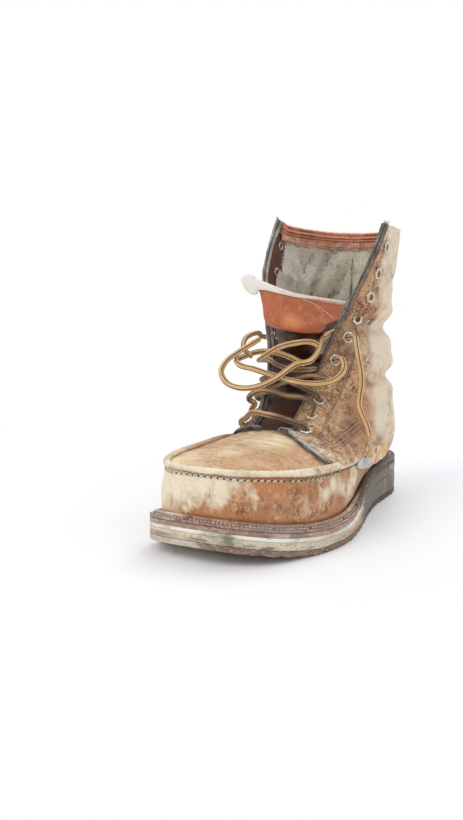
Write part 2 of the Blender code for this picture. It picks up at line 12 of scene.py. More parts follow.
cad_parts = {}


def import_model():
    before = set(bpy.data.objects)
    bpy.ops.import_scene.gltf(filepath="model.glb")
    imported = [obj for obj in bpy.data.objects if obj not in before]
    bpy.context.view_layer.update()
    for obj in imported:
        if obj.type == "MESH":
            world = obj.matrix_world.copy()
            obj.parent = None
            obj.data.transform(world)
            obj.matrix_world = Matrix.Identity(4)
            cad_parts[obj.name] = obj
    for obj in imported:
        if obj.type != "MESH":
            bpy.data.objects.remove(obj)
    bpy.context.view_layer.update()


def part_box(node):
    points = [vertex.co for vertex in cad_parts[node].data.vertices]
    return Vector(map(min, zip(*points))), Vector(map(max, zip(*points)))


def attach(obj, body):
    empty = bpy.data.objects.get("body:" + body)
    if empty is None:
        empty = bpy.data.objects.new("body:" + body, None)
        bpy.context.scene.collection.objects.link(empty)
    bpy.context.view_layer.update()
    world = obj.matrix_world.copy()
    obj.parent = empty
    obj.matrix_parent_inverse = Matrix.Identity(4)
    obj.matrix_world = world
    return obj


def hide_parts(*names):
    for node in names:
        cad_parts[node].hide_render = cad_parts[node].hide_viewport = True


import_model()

MM = 0.001
LATERAL, MEDIAL = 1, -1
SIDES = ((LATERAL, "outer"), (MEDIAL, "inner"))

# The boot's driving sizes, mm

sole_low, sole_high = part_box("outsole")
LENGTH = (sole_high[1] - sole_low[1]) / MM
HALF_LENGTH = LENGTH / 2
CENTRING = 5.2
GAP = 0.3
TREAD, MIDSOLE, WELT, LEDGE = 4.5, 3.2, 2.7, 7.0
WALL, OVERLAY = 2.4, 1.4

OUTLINE_COLUMNS = ("y", "centre", "half")
OUTLINE = (
    (-151, -23, 52.0),
    (-115, -14, 55.5),
    (-85, -4, 57.5),
    (-55, 1, 57.5),
    (-20, 2.5, 52.5),
    (20, 1, 45.5),
    (60, -3, 42.5),
    (100, -5, 43.0),
    (151, -6, 43.0),
)
TOE_RADIUS, TOE_POWER = 52.0, 2.8
HEEL_RADIUS, HEEL_POWER = 42.0, 2.3

PROFILE_COLUMNS = ("y", "underside", "wedge_top")
PROFILE = (
    (-151, 11.0, 24.2),
    (-120, 4.0, 17.5),
    (-90, 0.0, 13.7),
    (-55, 0.0, 13.7),
    (0, 0.0, 19.7),
    (60, 0.0, 26.2),
    (151, 0.0, 30.0),
)

# The upper, one row a station from the toe tip up to the collar, as the solid upper has them
STATION_COLUMNS = (
    "foot", "back_y", "back_z",
    "edge_lat", "edge_med", "edge_y", "edge_z", "edge_dy", "edge_dz",
    "belt_lat", "belt_med", "belt_y", "belt_z", "belt_dz",
    "arc_start", "arc_end", "foot_arc", "bulge",
)
STATIONS = (
    (0, 144, 0, -23, -23, -141, 63.5, 0, 0, -23, -23, -141, 63.5, 0, 0, 50, 30, 3),
    (15, 144, 0, -21, -21, -132, 66, 0, 0, 5, -45, -137, 62.5, 0.5, 0, 50, 30, 3),
    (30, 144, 0, -19.5, -19.5, -121, 68.5, 0, 0, 25.5, -57.5, -122, 61, 2.5, 0, 50, 30, 3),
    (42, 144, 0, -18, -18, -106, 70.5, 0, 0, 38.5, -59.5, -104, 59, 6, 0, 50, 30, 3),
    (54, 144, 0, -16.5, -16.5, -88, 73, 0, 0, 46, -55, -82, 57.5, 10, 0, 52, 30, 3),
    (66, 144, 0, -15, -15, -69, 76, 0, 0, 50, -51, -57, 56.5, 13, 0, 60, 30, 2.5),
    (77, 144, 0, -12.5, -12.5, -51, 79.8, 0, 0, 50, -47.5, -37, 55.5, 13, 0, 75, 30, 2),
    (84, 144, 0, 3.5, -27, -43, 80.5, 0, 0, 49, -47.5, -22, 54.5, 12, 10, 85, 25, 0.8),
    (94, 144, 0, 2, -31, -25, 89, 0, 0, 46, -46, 6, 54, 9, 18, 90, 22, 0.2),
    (106, 144, 0, 2, -35, -8, 101, 0, 0, 43.5, -46, 34, 56, 6, 25, 90, 22, 0),
    (118, 144, 0, 4, -38, 6, 116, -1, 0, 42.5, -47, 60, 62, 3, 28, 90, 24, 0),
    (131, 144, 0, 7.5, -40.5, 15, 133.5, -3, 0, 43.5, -48, 77, 72, 0, 30, 90, 30, 0),
    (146, 144, 0, 13, -43.5, 21, 150, -5, 0, 43.5, -49, 84, 86, 0, 32, 90, 45, 0),
    (162, 144, 0, 19, -46, 24.5, 162, -7, 0, 42, -49, 85, 100, 0, 35, 90, 65, 0),
    (180, 144, 37, 23.5, -48, 27.5, 171, -9, 0, 38.5, -49, 82, 115, 0, 35, 90, 85, 0),
    (180, 150, 62, 27, -49.5, 29.5, 180, -10, 0, 39, -49.5, 76, 130, 0, 35, 90, 90, 0),
    (180, 149, 95, 31, -51, 31.5, 190, -10, 0, 40.5, -50.5, 70, 147, 0, 35, 90, 90, 0),
    (180, 143, 128, 36, -52.5, 34, 201, -9, 0, 37.5, -50.5, 66, 168, 0, 35, 90, 90, 0),
    (180, 141, 165, 41, -52.5, 36.5, 213, -7.5, 0, 39.5, -51, 64, 190, 0, 40, 90, 90, 0),
    (180, 144, 203, 46, -51, 38.5, 226, -5, 2, 44, -52, 62, 214, 1.5, 45, 90, 90, 0),
    (180, 147, 240, 50.5, -46, 41, 241, -3, 7, 47.5, -52.5, 62, 240, 4, 50, 90, 90, 0),
)
THROAT, HEEL_STATION, COLLAR = 6, 14, len(STATIONS) - 1
QUARTER_FRONT = 6.15

# Eyelets, ten a side: the station of each along the throat, and how far it sits in from the edge
EYELETS = (
    (7.1, 13.0), (8.15, 10.7), (9.1, 10.8), (10.1, 10.4), (11.1, 10.0),
    (12.45, 11.3), (14.2, 13.0), (16.2, 14.0), (17.9, 15.0), (19.2, 14.0),
)

# Folds that wear has set in the leather: side, depth, half width, and the fold's line on the surface
FOLDS = (
    (LATERAL, 14.0, 7.2, (
        (29, 33, 158), (37, 47, 158), (42, 66, 158), (41, 92, 156), (34, 116, 155), (16, 138, 154),
    )),
    (LATERAL, 9.8, 6.6, (
        (34, 42, 110), (39, 54, 113), (43, 70, 115), (43, 94, 113), (34, 120, 111), (16, 138, 110),
    )),
    (LATERAL, 1.0, 3.0, ((33, 44, 138), (38, 56, 134), (42, 70, 132))),
    (LATERAL, 2.4, 5.0, ((46, 70, 206), (44, 88, 198), (36, 112, 196), (20, 134, 199))),
    (LATERAL, 1.8, 3.4, ((30, 8, 92), (40, 26, 86), (45, 46, 84), (44, 64, 88))),
    (MEDIAL, 4.0, 5.5, ((-50, 24, 166), (-51, 50, 161), (-50, 76, 163), (-42, 108, 168), (-28, 134, 168))),
    (MEDIAL, 3.4, 5.0, ((-48, 28, 128), (-50, 56, 121), (-50, 84, 119), (-43, 112, 124), (-30, 134, 128))),
    (MEDIAL, 2.2, 4.4, ((-52, 46, 204), (-53, 72, 198), (-46, 104, 197), (-30, 132, 200))),
    (MEDIAL, 1.8, 3.6, ((-44, -6, 84), (-47, 18, 80), (-48, 44, 84))),
    (LATERAL, 0.9, 2.2, ((-14, -67, 77), (2, -66, 74.5), (22, -62, 68), (38, -56, 61))),
    (LATERAL, 0.7, 1.8, ((-16, -75, 75.5), (4, -74, 73), (22, -70, 67), (36, -64, 61))),
    (LATERAL, 0.5, 1.5, ((-14, -60, 78), (4, -58, 76), (24, -52, 70))),
    (MEDIAL, 0.9, 2.2, ((-15, -68, 77), (-26, -67, 76), (-38, -64, 73), (-46, -60, 69))),
    (MEDIAL, 0.7, 1.8, ((-17, -77, 75), (-30, -76, 73), (-44, -72, 68))),
    (LATERAL, 1.3, 3.0, ((51, -56, 52), (54, -50, 44), (54, -46, 36))),
    (LATERAL, 1.0, 2.6, ((50, -40, 52), (52, -36, 44), (52, -34, 36))),
)
# Where the leather swells between the folds: x, y, z, radius, height
SWELLS = (
    (42, 68, 182, 24, 1.6),
    (42, 78, 138, 28, -3.6),
    (42, 92, 94, 26, -0.9),
    (-53, 58, 182, 26, 2.0),
    (-52, 62, 143, 24, 2.2),
    (-46, 90, 98, 30, 1.8),
    (-6, 152, 112, 26, 1.5),
)


def column(table, names, name):
    return np.array([row[names.index(name)] for row in table], float)


def smooth(xs, ys, x):
    """A smooth curve through the points (xs, ys), with the slope at each point from its neighbours."""
    x = np.clip(np.asarray(x, float), xs[0], xs[-1])
    step = np.diff(xs)
    slope = np.diff(ys) / step
    tangent = np.empty_like(ys)
    tangent[1:-1] = (slope[:-1] * step[1:] + slope[1:] * step[:-1]) / (step[:-1] + step[1:])
    tangent[0], tangent[-1] = slope[0], slope[-1]
    i = np.clip(np.searchsorted(xs, x, side="right") - 1, 0, len(xs) - 2)
    t = (x - xs[i]) / step[i]
    ends = (1 + 2 * t) * (1 - t) ** 2 * ys[i] + t * t * (3 - 2 * t) * ys[i + 1]
    return ends + step[i] * (t * (1 - t) ** 2 * tangent[i] + t * t * (t - 1) * tangent[i + 1])


def ramp(value, low, high):
    t = np.clip((value - low) / (high - low), 0, 1)
    return t * t * (3 - 2 * t)


def unit(vectors):
    return vectors / np.maximum(np.linalg.norm(vectors, axis=-1, keepdims=True), 1e-9)


def run_along(line):
    """Millimetres along a line to each of its points."""
    return np.concatenate([[0], np.cumsum(np.linalg.norm(np.diff(line, axis=0), axis=1))])


def outline(name, y):
    return smooth(column(OUTLINE, OUTLINE_COLUMNS, "y"), column(OUTLINE, OUTLINE_COLUMNS, name), y)


def profile(name, y):
    return smooth(column(PROFILE, PROFILE_COLUMNS, "y"), column(PROFILE, PROFILE_COLUMNS, name), y)


def station(name, s):
    rows = np.arange(len(STATIONS), dtype=float)
    return smooth(rows, column(STATIONS, STATION_COLUMNS, name), s)


def rim(angle, inset, side):
    """x, y of the sole's outline moved in by inset, at an angle from the toe (0) round a side to the heel."""
    y = -(HALF_LENGTH - inset) * np.cos(np.radians(angle))
    toe = np.clip((TOE_RADIUS - HALF_LENGTH + inset - y) / TOE_RADIUS, 0, 1)
    heel = np.clip((y - HALF_LENGTH + inset + HEEL_RADIUS) / HEEL_RADIUS, 0, 1)
    ends = (1 - toe**TOE_POWER) ** (1 / TOE_POWER) * (1 - heel**HEEL_POWER) ** (1 / HEEL_POWER)
    return outline("centre", y) + side * (outline("half", y) - inset) * ends, y


def ledge_top(y):
    return profile("wedge_top", y) + GAP + MIDSOLE + GAP + WELT


def upper_point(s, q, side):
    """The upper's base surface: s counts stations, q runs from the edge (0) by the belt (1) to the foot."""
    s, q = np.broadcast_arrays(np.asarray(s, float), np.asarray(q, float))
    lateral = side == LATERAL
    middle = (station("edge_lat", s) + station("edge_med", s)) / 2
    half_gap = (station("edge_lat", s) - station("edge_med", s)) / 2
    first_gap = (station("edge_lat", THROAT + 1) - station("edge_med", THROAT + 1)) / 2
    opening = np.clip(s - THROAT, 0, 1)
    half_gap = np.where(s < THROAT + 1, first_gap * np.sqrt(opening), half_gap)
    edge = np.stack([
        middle + side * half_gap,
        station("edge_y", s) + (0 if lateral else station("edge_dy", s)),
        station("edge_z", s) + (0 if lateral else station("edge_dz", s)),
    ], -1)
    belt = np.stack([
        station("belt_lat" if lateral else "belt_med", s),
        station("belt_y", s),
        station("belt_z", s) + (0 if lateral else station("belt_dz", s)),
    ], -1)
    foot_angle = np.clip(station("foot", s), 0, 180)
    foot_x, foot_y = rim(foot_angle, LEDGE, side)
    at_heel = s > HEEL_STATION
    foot_y = np.where(at_heel, station("back_y", s), foot_y)
    foot_z = np.where(at_heel, station("back_z", s), ledge_top(foot_y) + GAP)
    foot_x = np.where(at_heel, outline("centre", HALF_LENGTH), foot_x)
    foot = np.stack([foot_x, foot_y, foot_z], -1)

    start, end = np.radians(station("arc_start", s)), np.radians(station("arc_end", s))
    turn = start + (end - start) * np.clip(q, 0, 1)
    across = (np.sin(turn) - np.sin(start)) / (np.sin(end) - np.sin(start))
    down = (np.cos(start) - np.cos(turn)) / (np.cos(start) - np.cos(end))
    over = np.stack([across, down, down], -1) * (belt - edge) + edge

    arc = np.radians(station("foot_arc", s))
    turn = arc * np.clip(q - 1, 0, 1)
    across = (1 - np.cos(turn)) / (1 - np.cos(arc))
    down = np.sin(turn) / np.sin(arc)
    under = np.stack([across, down, down], -1) * (foot - belt) + belt
    ahead = np.array(rim(np.clip(foot_angle + 1, 1, 180), LEDGE, side))
    behind = np.array(rim(np.clip(foot_angle - 1, 0, 179), LEDGE, side))
    along = ahead - behind
    outward = unit(np.stack([side * along[1], -side * along[0], 0 * along[0]], -1))
    bulge = station("bulge", s) * np.sin(np.pi * np.clip(q - 1, 0, 1))
    return np.where((q <= 1)[..., None], over, under + outward * bulge[..., None])


def upper_normal(s, q, side):
    s, q = np.broadcast_arrays(np.asarray(s, float), np.asarray(q, float))
    step, first = 0.02, 0.3
    s0, s1 = np.clip(s - step, first, COLLAR), np.clip(s + step, first + 2 * step, COLLAR)
    q0, q1 = np.clip(q - step, 0, 2), np.clip(q + step, 0, 2)
    along = upper_point(s1, q, side) - upper_point(s0, q, side)
    across = upper_point(np.maximum(s, first), q1, side) - upper_point(np.maximum(s, first), q0, side)
    return unit(side * np.cross(across, along))


def setback(s, side, distance):
    """The q that lies a distance in from the throat's edge, along station s."""
    q = np.linspace(0, 2, 81)
    return float(np.interp(distance, run_along(upper_point(s, q, side)), q))


# Patterns over points in mm


def noise(points, size, seed=0):
    """Smooth noise from -1 to 1 over points, in lumps of about a size."""
    at = np.asarray(points, float) / size
    cell = np.floor(at).astype(np.int64)
    t = at - cell
    t = t * t * (3 - 2 * t)
    total = np.zeros(at.shape[:-1])
    for corner in np.ndindex(2, 2, 2):
        share = np.prod(np.where(corner, t, 1 - t), axis=-1)
        x, y, z = np.moveaxis(cell + np.array(corner), -1, 0)
        mixed = (x * 374761393 + y * 668265263 + z * 2147483629 + seed * 974634777) & 0xFFFFFFFF
        mixed = ((mixed ^ (mixed >> 13)) * 1274126177) & 0xFFFFFFFF
        total += share * (((mixed ^ (mixed >> 16)) & 0xFFFF) / 32767.5 - 1)
    return total


def evenly(points, spacing):
    """Points at even steps along the smooth curve through some given points."""
    points = np.array(points, float)
    run = run_along(points)
    steps = max(2, round(run[-1] / spacing))
    return np.stack([smooth(run, line, np.linspace(0, run[-1], steps + 1)) for line in points.T], -1)


def nearest(points, path):
    """Distance from each point to a dense path, and which of the path's points is the nearest."""
    tree = KDTree(len(path))
    for i, point in enumerate(path):
        tree.insert(point, i)
    tree.balance()
    found = [tree.find(point)[1:] for point in points.reshape(-1, 3)]
    place, apart = np.array(found, float).reshape(-1, 2).T
    return apart.reshape(points.shape[:-1]), place.reshape(points.shape[:-1]).astype(int)


def in_reach(points, path, reach):
    """Whether each point lies in a path's box, let out by a reach."""
    return ((points > path.min(0) - reach) & (points < path.max(0) + reach)).all(-1)


def near(points, path, width):
    """1 on a path, fading to 0 over a width."""
    path = np.asarray(path)
    close_by = in_reach(points, path, 3 * width)
    amount = np.zeros(points.shape[:-1])
    if close_by.any():
        amount[close_by] = np.exp(-((nearest(points[close_by], path)[0] / width) ** 2))
    return amount


def spots(points, table):
    """The strongest of some soft patches with wandering outlines: x, y, z, radius, strength."""
    total = np.zeros(points.shape[:-1])
    for size, reach, seed in ((15, 6.5, 200), (5.5, 2.5, 210)):
        shift = np.stack([noise(points, size, seed + k) for k in range(3)], -1)
        points = points + reach * shift
    for x, y, z, radius, strength in table:
        apart = np.linalg.norm(points - np.array((x, y, z)), axis=-1) / radius
        total = np.maximum(total, strength * np.exp(-(apart**2)))
    return total


def folds(points, side):
    """How far the folds and swells move the leather outwards, and how deep in a fold each point is."""
    moved = np.zeros(points.shape[:-1])
    inside = np.zeros(points.shape[:-1])
    side = np.broadcast_to(side, moved.shape)
    for fold_side, depth, width, line in FOLDS:
        path = evenly(line, 2.0)
        here = in_reach(points, path, 4.5 * width) & (side == fold_side)
        if not here.any():
            continue
        apart, place = nearest(points[here], path)
        taper = np.sin(np.pi * (0.06 + 0.88 * place / (len(path) - 1))) ** 0.6
        dip = np.exp(-((apart / width) ** 2))
        shoulder = np.exp(-(((apart - 2.1 * width) / (1.1 * width)) ** 2))
        moved[here] += depth * taper * (0.22 * shoulder - dip)
        within = taper * np.exp(-((apart / (0.8 * width)) ** 2)) * min(1, depth / 2.5)
        inside[here] = np.maximum(inside[here], within)
    for x, y, z, radius, height in SWELLS:
        apart = np.linalg.norm(points - np.array((x, y, z)), axis=-1) / radius
        moved += height * np.exp(-(apart**2))
    return moved, inside


def leather_at(s, q, side, rise=0.0):
    """Points and outward directions on the folded upper, a rise over its base surface.

    side may differ from point to point."""
    s, q, side = np.broadcast_arrays(np.asarray(s, float), np.asarray(q, float), side)
    lateral = (side > 0)[..., None]
    points = np.where(lateral, upper_point(s, q, LATERAL), upper_point(s, q, MEDIAL))
    normals = np.where(lateral, upper_normal(s, q, LATERAL), upper_normal(s, q, MEDIAL))
    moved = folds(points, side)[0]
    return points + normals * (moved + rise)[..., None], normals


# Meshes

HOME = bpy.data.collections.new("boot")
bpy.context.scene.collection.children.link(HOME)


def world(points):
    return (np.asarray(points, float).reshape(-1, 3) + (CENTRING, 0, 0)) * MM


def metres_of(piece):
    """A mesh's points as it stores them."""
    flat = np.empty(len(piece.data.vertices) * 3)
    piece.data.vertices.foreach_get("co", flat)
    return flat.reshape(-1, 3)


def points_of(piece):
    """A mesh's points, in mm before centring."""
    return metres_of(piece) / MM - (CENTRING, 0, 0)


def deselect():
    bpy.ops.object.select_all(action="DESELECT")


def pick(piece):
    """Makes a piece the one that Blender's next operators work on."""
    deselect()
    piece.select_set(True)
    bpy.context.view_layer.objects.active = piece


def edit(piece, *steps):
    """Runs edit-mode steps on all of a mesh."""
    pick(piece)
    bpy.ops.object.mode_set(mode="EDIT")
    bpy.ops.mesh.select_all(action="SELECT")
    for step in steps:
        step()
    bpy.ops.object.mode_set(mode="OBJECT")


def grid(name, across, around, place, outward=None, lay=None):
    """A sheet: a grid primitive with each point put at place(across value, around value), in mm.

    outward(points) says which way its faces turn; without it the sheet closes into a body. lay gives the
    v of each step across and the u of each step around."""
    deselect()
    bpy.ops.mesh.primitive_grid_add(x_subdivisions=len(across) - 1, y_subdivisions=len(around) - 1, size=2)
    piece = bpy.context.object
    piece.name = piece.data.name = name
    x, y = metres_of(piece).T[:2]
    i = np.rint((x + 1) / 2 * (len(across) - 1)).astype(int)
    j = np.rint((y + 1) / 2 * (len(around) - 1)).astype(int)
    if lay is not None:
        corners = np.empty(len(piece.data.loops), int)
        piece.data.loops.foreach_get("vertex_index", corners)
        layer = piece.data.uv_layers.new(name="lay")
        layer.data.foreach_set("uv", np.stack([lay[1][j[corners]], lay[0][i[corners]]], -1).ravel())
    points = place(np.asarray(across)[i], np.asarray(around)[j])
    piece.data.vertices.foreach_set("co", world(points).ravel())
    piece.data.update()
    if outward is None:
        close(piece)
    else:
        turn_out(piece, outward)
    return piece


# Points this near are merged; bends under one angle are shaded smooth, and those over the other are cut edges
WELD_REACH, SMOOTH_BELOW, CUT_EDGE_ABOVE = 0.02, math.radians(42), math.radians(50)


def weld():
    bpy.ops.mesh.remove_doubles(threshold=WELD_REACH * MM)


def close(piece):
    edit(piece, weld, lambda: bpy.ops.mesh.normals_make_consistent(inside=False))


def turn_out(piece, outward):
    """Flips a sheet whose faces look against the outward directions."""
    piece.data.update()
    middles = np.array([face.center for face in piece.data.polygons]) / MM - (CENTRING, 0, 0)
    facing = np.array([face.normal for face in piece.data.polygons])
    if (facing * outward(middles)).sum() < 0:
        edit(piece, bpy.ops.mesh.flip_normals)


def finish(piece, finish_of, slot, *nodes):
    """Gives a piece its material and smooth shading, and says what it rides on and stands for."""
    piece.data.materials.clear()
    piece.data.materials.append(finish_of)
    if "wear_and_shade" not in piece.data.color_attributes:
        paint(piece)
    pick(piece)
    bpy.ops.object.shade_smooth_by_angle(angle=SMOOTH_BELOW)
    for group in list(piece.users_collection):
        group.objects.unlink(piece)
    HOME.objects.link(piece)
    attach(piece, "root")
    if nodes:
        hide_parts(*nodes)
    return piece


def apply(piece, kind, **settings):
    """Adds a modifier and applies it."""
    modifier = piece.modifiers.new(kind.lower(), kind)
    for key, value in settings.items():
        setattr(modifier, key, value)
    pick(piece)
    bpy.ops.object.modifier_apply(modifier=modifier.name)


def thicken(piece, thickness, edge=0.45):
    """Gives a sheet of leather its thickness, inwards, and softens its cut edges."""
    apply(piece, "SOLIDIFY", thickness=thickness * MM, offset=-1, use_even_offset=False)
    apply(piece, "BEVEL", width=edge * MM, segments=2, limit_method="ANGLE", angle_limit=CUT_EDGE_ABOVE)


def paint(piece, worn=0.0, dark=0.0, warm=0.0, mud=0.0):
    """Stores how worn, darkened, warm-toned and muddy each point is, for its material to read; the paler and
    darker marks include painted highlights and painted shade.
    """
    layer = piece.data.color_attributes.new("wear_and_shade", "FLOAT_COLOR", "POINT")
    count = len(piece.data.vertices)
    values = np.stack([np.broadcast_to(np.asarray(v, float), count) for v in (worn, dark, warm, mud)], -1)
    layer.data.foreach_set("color", np.clip(values, 0, 1).astype(np.float32).ravel())


def join(pieces, name):
    deselect()
    for piece in pieces:
        piece.select_set(True)
    bpy.context.view_layer.objects.active = pieces[0]
    bpy.ops.object.join()
    joined = bpy.context.object
    joined.name = joined.data.name = name
    return joined


# Materials


def linear(hex_colour):
    def channel(text):
        value = int(text, 16) / 255
        return value / 12.92 if value <= 0.04045 else ((value + 0.055) / 1.055) ** 2.4
    return [channel(hex_colour[i : i + 2]) for i in (1, 3, 5)] + [1.0]


def node(tree, kind, inputs, **settings):
    """Adds a node with its settings; an input is a value or the socket that it is linked from."""
    made = tree.nodes.new("ShaderNode" + kind)
    for key, value in settings.items():
        setattr(made, key, value)
    for key, value in inputs.items():
        if isinstance(value, bpy.types.NodeSocket):
            tree.links.new(value, made.inputs[key])
        else:
            made.inputs[key].default_value = value
    return made


def maths(tree, operation, *values):
    return node(tree, "Math", dict(enumerate(values)), operation=operation).outputs[0]


def mapped(tree, value, low, high, most, least=0.0):
    """A value between low and high, as one from least to most."""
    ends = {"From Min": low, "From Max": high, "To Min": least, "To Max": most}
    return node(tree, "MapRange", {"Value": value, **ends}).outputs[0]


def lumps(tree, place, size, detail, roughness=0.5):
    """Noise in lumps of a size in mm."""
    settings = {"Scale": 1 / (size * MM), "Detail": detail, "Roughness": roughness}
    return node(tree, "TexNoise", {"Vector": place, **settings}).outputs["Fac"]


# The colour sockets of a Mix node, by number
MIX_FACTOR, MIX_A, MIX_B, MIX_RESULT = 0, 6, 7, 2


def laid_over(tree, amount, under, over):
    """One colour laid over another, by an amount from 0 to 1."""
    inputs = {MIX_FACTOR: amount, MIX_A: under, MIX_B: over}
    return node(tree, "Mix", inputs, data_type="RGBA").outputs[MIX_RESULT]


def shaded(tone, share):
    return [share * value for value in tone[:3]] + [1.0]


def new_material(name):
    """A material, its node tree and its shader."""
    made = bpy.data.materials.new(name)
    made.use_nodes = True
    return made, made.node_tree, made.node_tree.nodes["Principled BSDF"]


def add_relief(tree, shader, height, depth, strength):
    """Raises the surface by up to a depth in mm where height is 1."""
    bump = node(tree, "Bump", {"Height": height, "Distance": depth * MM, "Strength": strength})
    tree.links.new(bump.outputs["Normal"], shader.inputs["Normal"])


def weathered(name, tones, stain_and_shade_tones, mottle, fleck, relief, roughness,
              stretch=(1, 1, 1), metallic=0.0, sheen=0.0, pitted=0.75):
    """A worn surface. tones are its deep, main and pale colours, in patches and flecks of sizes in mm.

    stain_and_shade_tones are the colours of the worn, dark, warm and muddy places that the wear_and_shade
    attribute marks, each with how ragged its edge is; the worn and dark places include painted highlights and
    painted shade. relief is its grain's size and depth in mm, and pitted how dark its pits are."""
    made, tree, shader = new_material(name)
    place = node(tree, "TexCoord", {}).outputs["Object"]
    wide = node(tree, "Mapping", {"Vector": place, "Scale": stretch}).outputs["Vector"]
    patches = lumps(tree, wide, mottle, 7, 0.66)
    flecks = lumps(tree, wide, fleck, 4, 0.7)
    pits = lumps(tree, place, fleck / 1.7, 3, 0.7)
    deep, main, pale = [linear(tone) for tone in tones]
    colour = laid_over(tree, mapped(tree, patches, 0.36, 0.62, 1.0), deep, main)
    colour = laid_over(tree, mapped(tree, flecks, 0.5, 0.68, 0.85), colour, pale)
    colour = laid_over(tree, mapped(tree, pits, 0.52, 0.66, pitted), colour, shaded(deep, 0.3))
    wear_and_shade = node(tree, "Attribute", {}, attribute_name="wear_and_shade")
    worn, dark, warm = node(tree, "SeparateColor", {"Color": wear_and_shade.outputs["Color"]}).outputs
    ragged = maths(tree, "ADD", flecks, patches)
    # Warm tones lie lowest, then what is worn, dark and muddy
    order = ((warm, stain_and_shade_tones[2]), (worn, stain_and_shade_tones[0]), (dark, stain_and_shade_tones[1]), (wear_and_shade.outputs["Alpha"], stain_and_shade_tones[3]))
    for channel, (tone, rag) in order:
        broken = maths(tree, "MULTIPLY_ADD", ragged, rag, channel)
        colour = laid_over(tree, mapped(tree, broken, 0.22 + rag, 1.0 + rag, 0.95), colour, linear(tone))
    tree.links.new(colour, shader.inputs["Base Color"])
    size, depth = relief
    grain = node(tree, "TexVoronoi", {"Vector": place, "Scale": 1 / (size * MM), "Randomness": 1.0})
    height = maths(tree, "MULTIPLY_ADD", flecks, 1.6, grain.outputs["Distance"])
    add_relief(tree, shader, height, depth, 1.0)
    rough = mapped(tree, flecks, 0.3, 0.7, roughness + 0.12, roughness - 0.12)
    tree.links.new(rough, shader.inputs["Roughness"])
    shader.inputs["Metallic"].default_value = metallic
    shader.inputs["Sheen Weight"].default_value = sheen
    return made


DRIED_MUD = "#a08c72"

# Oil-tanned cowhide, dyed tan in the drum: soft mottling, scuffs that pale to cream, dirt in the low places
wall_leather = weathered(
    "oiled_tan_leather_vamp",
    ("#945c38", "#cf9663", "#ecd3a8"),
    (("#f2e4c6", 0.85), ("#47301f", 1.2), ("#c4824e", 1.1), (DRIED_MUD, 1.6)),
    mottle=9, fleck=2.8, relief=(1.3, 0.18), roughness=0.6, stretch=(1.15, 1.15, 0.7),
)
plug_leather = weathered(
    "oiled_tan_leather_plug",
    ("#b48757", "#d9b384", "#f0dab2"),
    (("#f2deb8", 0.45), ("#573723", 1.0), ("#bb8150", 1.0), (DRIED_MUD, 1.6)),
    mottle=20, fleck=3.6, relief=(1.1, 0.12), roughness=0.5, stretch=(0.4, 1.7, 1),
)
quarter_leather = weathered(
    "oiled_tan_leather_quarter",
    ("#764326", "#e1b07c", "#fbe8bd"),
    (("#eddcc0", 0.55), ("#53321f", 1.0), ("#b56f42", 1.1), ("#cdbb9b", 1.4)),
    mottle=10, fleck=2.3, relief=(1.6, 0.3), roughness=0.66, pitted=0.8,
)
roll_leather = weathered(
    "rubbed_seam_leather",
    ("#b9986f", "#d8c49e", "#f2e4c4"),
    (("#f8ecd0", 0.6), ("#6b4730", 0.8), ("#bd8860", 0.8), ("#b4ab97", 1.5)),
    mottle=10, fleck=3.2, relief=(1.0, 0.08), roughness=0.5, pitted=0.35,
)
edge_leather = weathered(
    "raw_leather_edge",
    ("#5f584f", "#888176", "#bdb6a8"),
    (("#e4dfd2", 1.0), ("#1f1b18", 1.2), ("#84563a", 1.1), ("#b7af9d", 1.4)),
    mottle=6, fleck=1.6, relief=(0.9, 0.2), roughness=0.85,
)
tongue_leather = weathered(
    "smooth_chrome_tanned_leather",
    ("#9a4a28", "#b8623a", "#c97c4c"),
    (("#f3ebe0", 0.6), ("#2a130c", 0.5), ("#cd8449", 0.5), ("#b69a80", 1.2)),
    mottle=30, fleck=7, relief=(1.2, 0.04), roughness=0.4, pitted=0.12,
)
# Its tones are lighter than the calfskin itself, as painted light that brightens the band in the collar's
# shade
band_leather = weathered(
    "collar_calfskin",
    ("#c4755a", "#f0a783", "#ffd5b6"),
    (("#fbd8bd", 0.9), ("#3f1c12", 1.1), ("#cf7547", 1.0), ("#cbb8a0", 1.4)),
    mottle=6, fleck=2.2, relief=(1.1, 0.18), roughness=0.5,
)
facing_leather = weathered(
    "smooth_facing_leather",
    ("#4f281c", "#6e3f2d", "#8e5e46"),
    (("#cdbba6", 1.0), ("#22110c", 1.1), ("#96593a", 1.0), ("#b7a58e", 1.4)),
    mottle=9, fleck=2.2, relief=(1.1, 0.1), roughness=0.55,
)
# Its tones are lighter than the felt itself, as painted light that brightens the shaded inside of the shaft
lining_felt = weathered(
    "needled_wool_felt",
    ("#e0d8c0", "#faf3de", "#fffbee"),
    (("#fffdf4", 1.0), ("#2b2822", 1.0), ("#b99f72", 1.0), ("#a79f8a", 1.6)),
    mottle=9, fleck=2.1, relief=(1.2, 0.6), roughness=0.95, sheen=0.3, pitted=0.45,
)
welt_leather = weathered(
    "dressed_welt_leather",
    ("#87614f", "#b88f7a", "#e2c8b4"),
    (("#e4cfbf", 1.0), ("#2e2925", 0.9), ("#a4705a", 1.0), ("#8d867a", 1.6)),
    mottle=12, fleck=2.2, relief=(1.2, 0.1), roughness=0.55,
)
midsole_leather = weathered(
    "edge_dressed_midsole",
    ("#8e6a58", "#bf9f88", "#e6d0bc"),
    (("#dccbbb", 1.0), ("#37322c", 0.9), ("#94624f", 1.0), ("#8b8478", 1.6)),
    mottle=10, fleck=2, relief=(1.0, 0.15), roughness=0.65, stretch=(0.4, 0.4, 2),
)
wedge_foam = weathered(
    "expanded_foam_rubber",
    ("#d0c2a4", "#ebddc0", "#f8eeda"),
    (("#fbf6e9", 0.8), ("#6f6a60", 0.35), ("#b08b72", 1.0), ("#84806e", 1.7)),
    mottle=9, fleck=1.8, relief=(1.1, 0.25), roughness=0.8, stretch=(0.4, 0.4, 1.6),
)
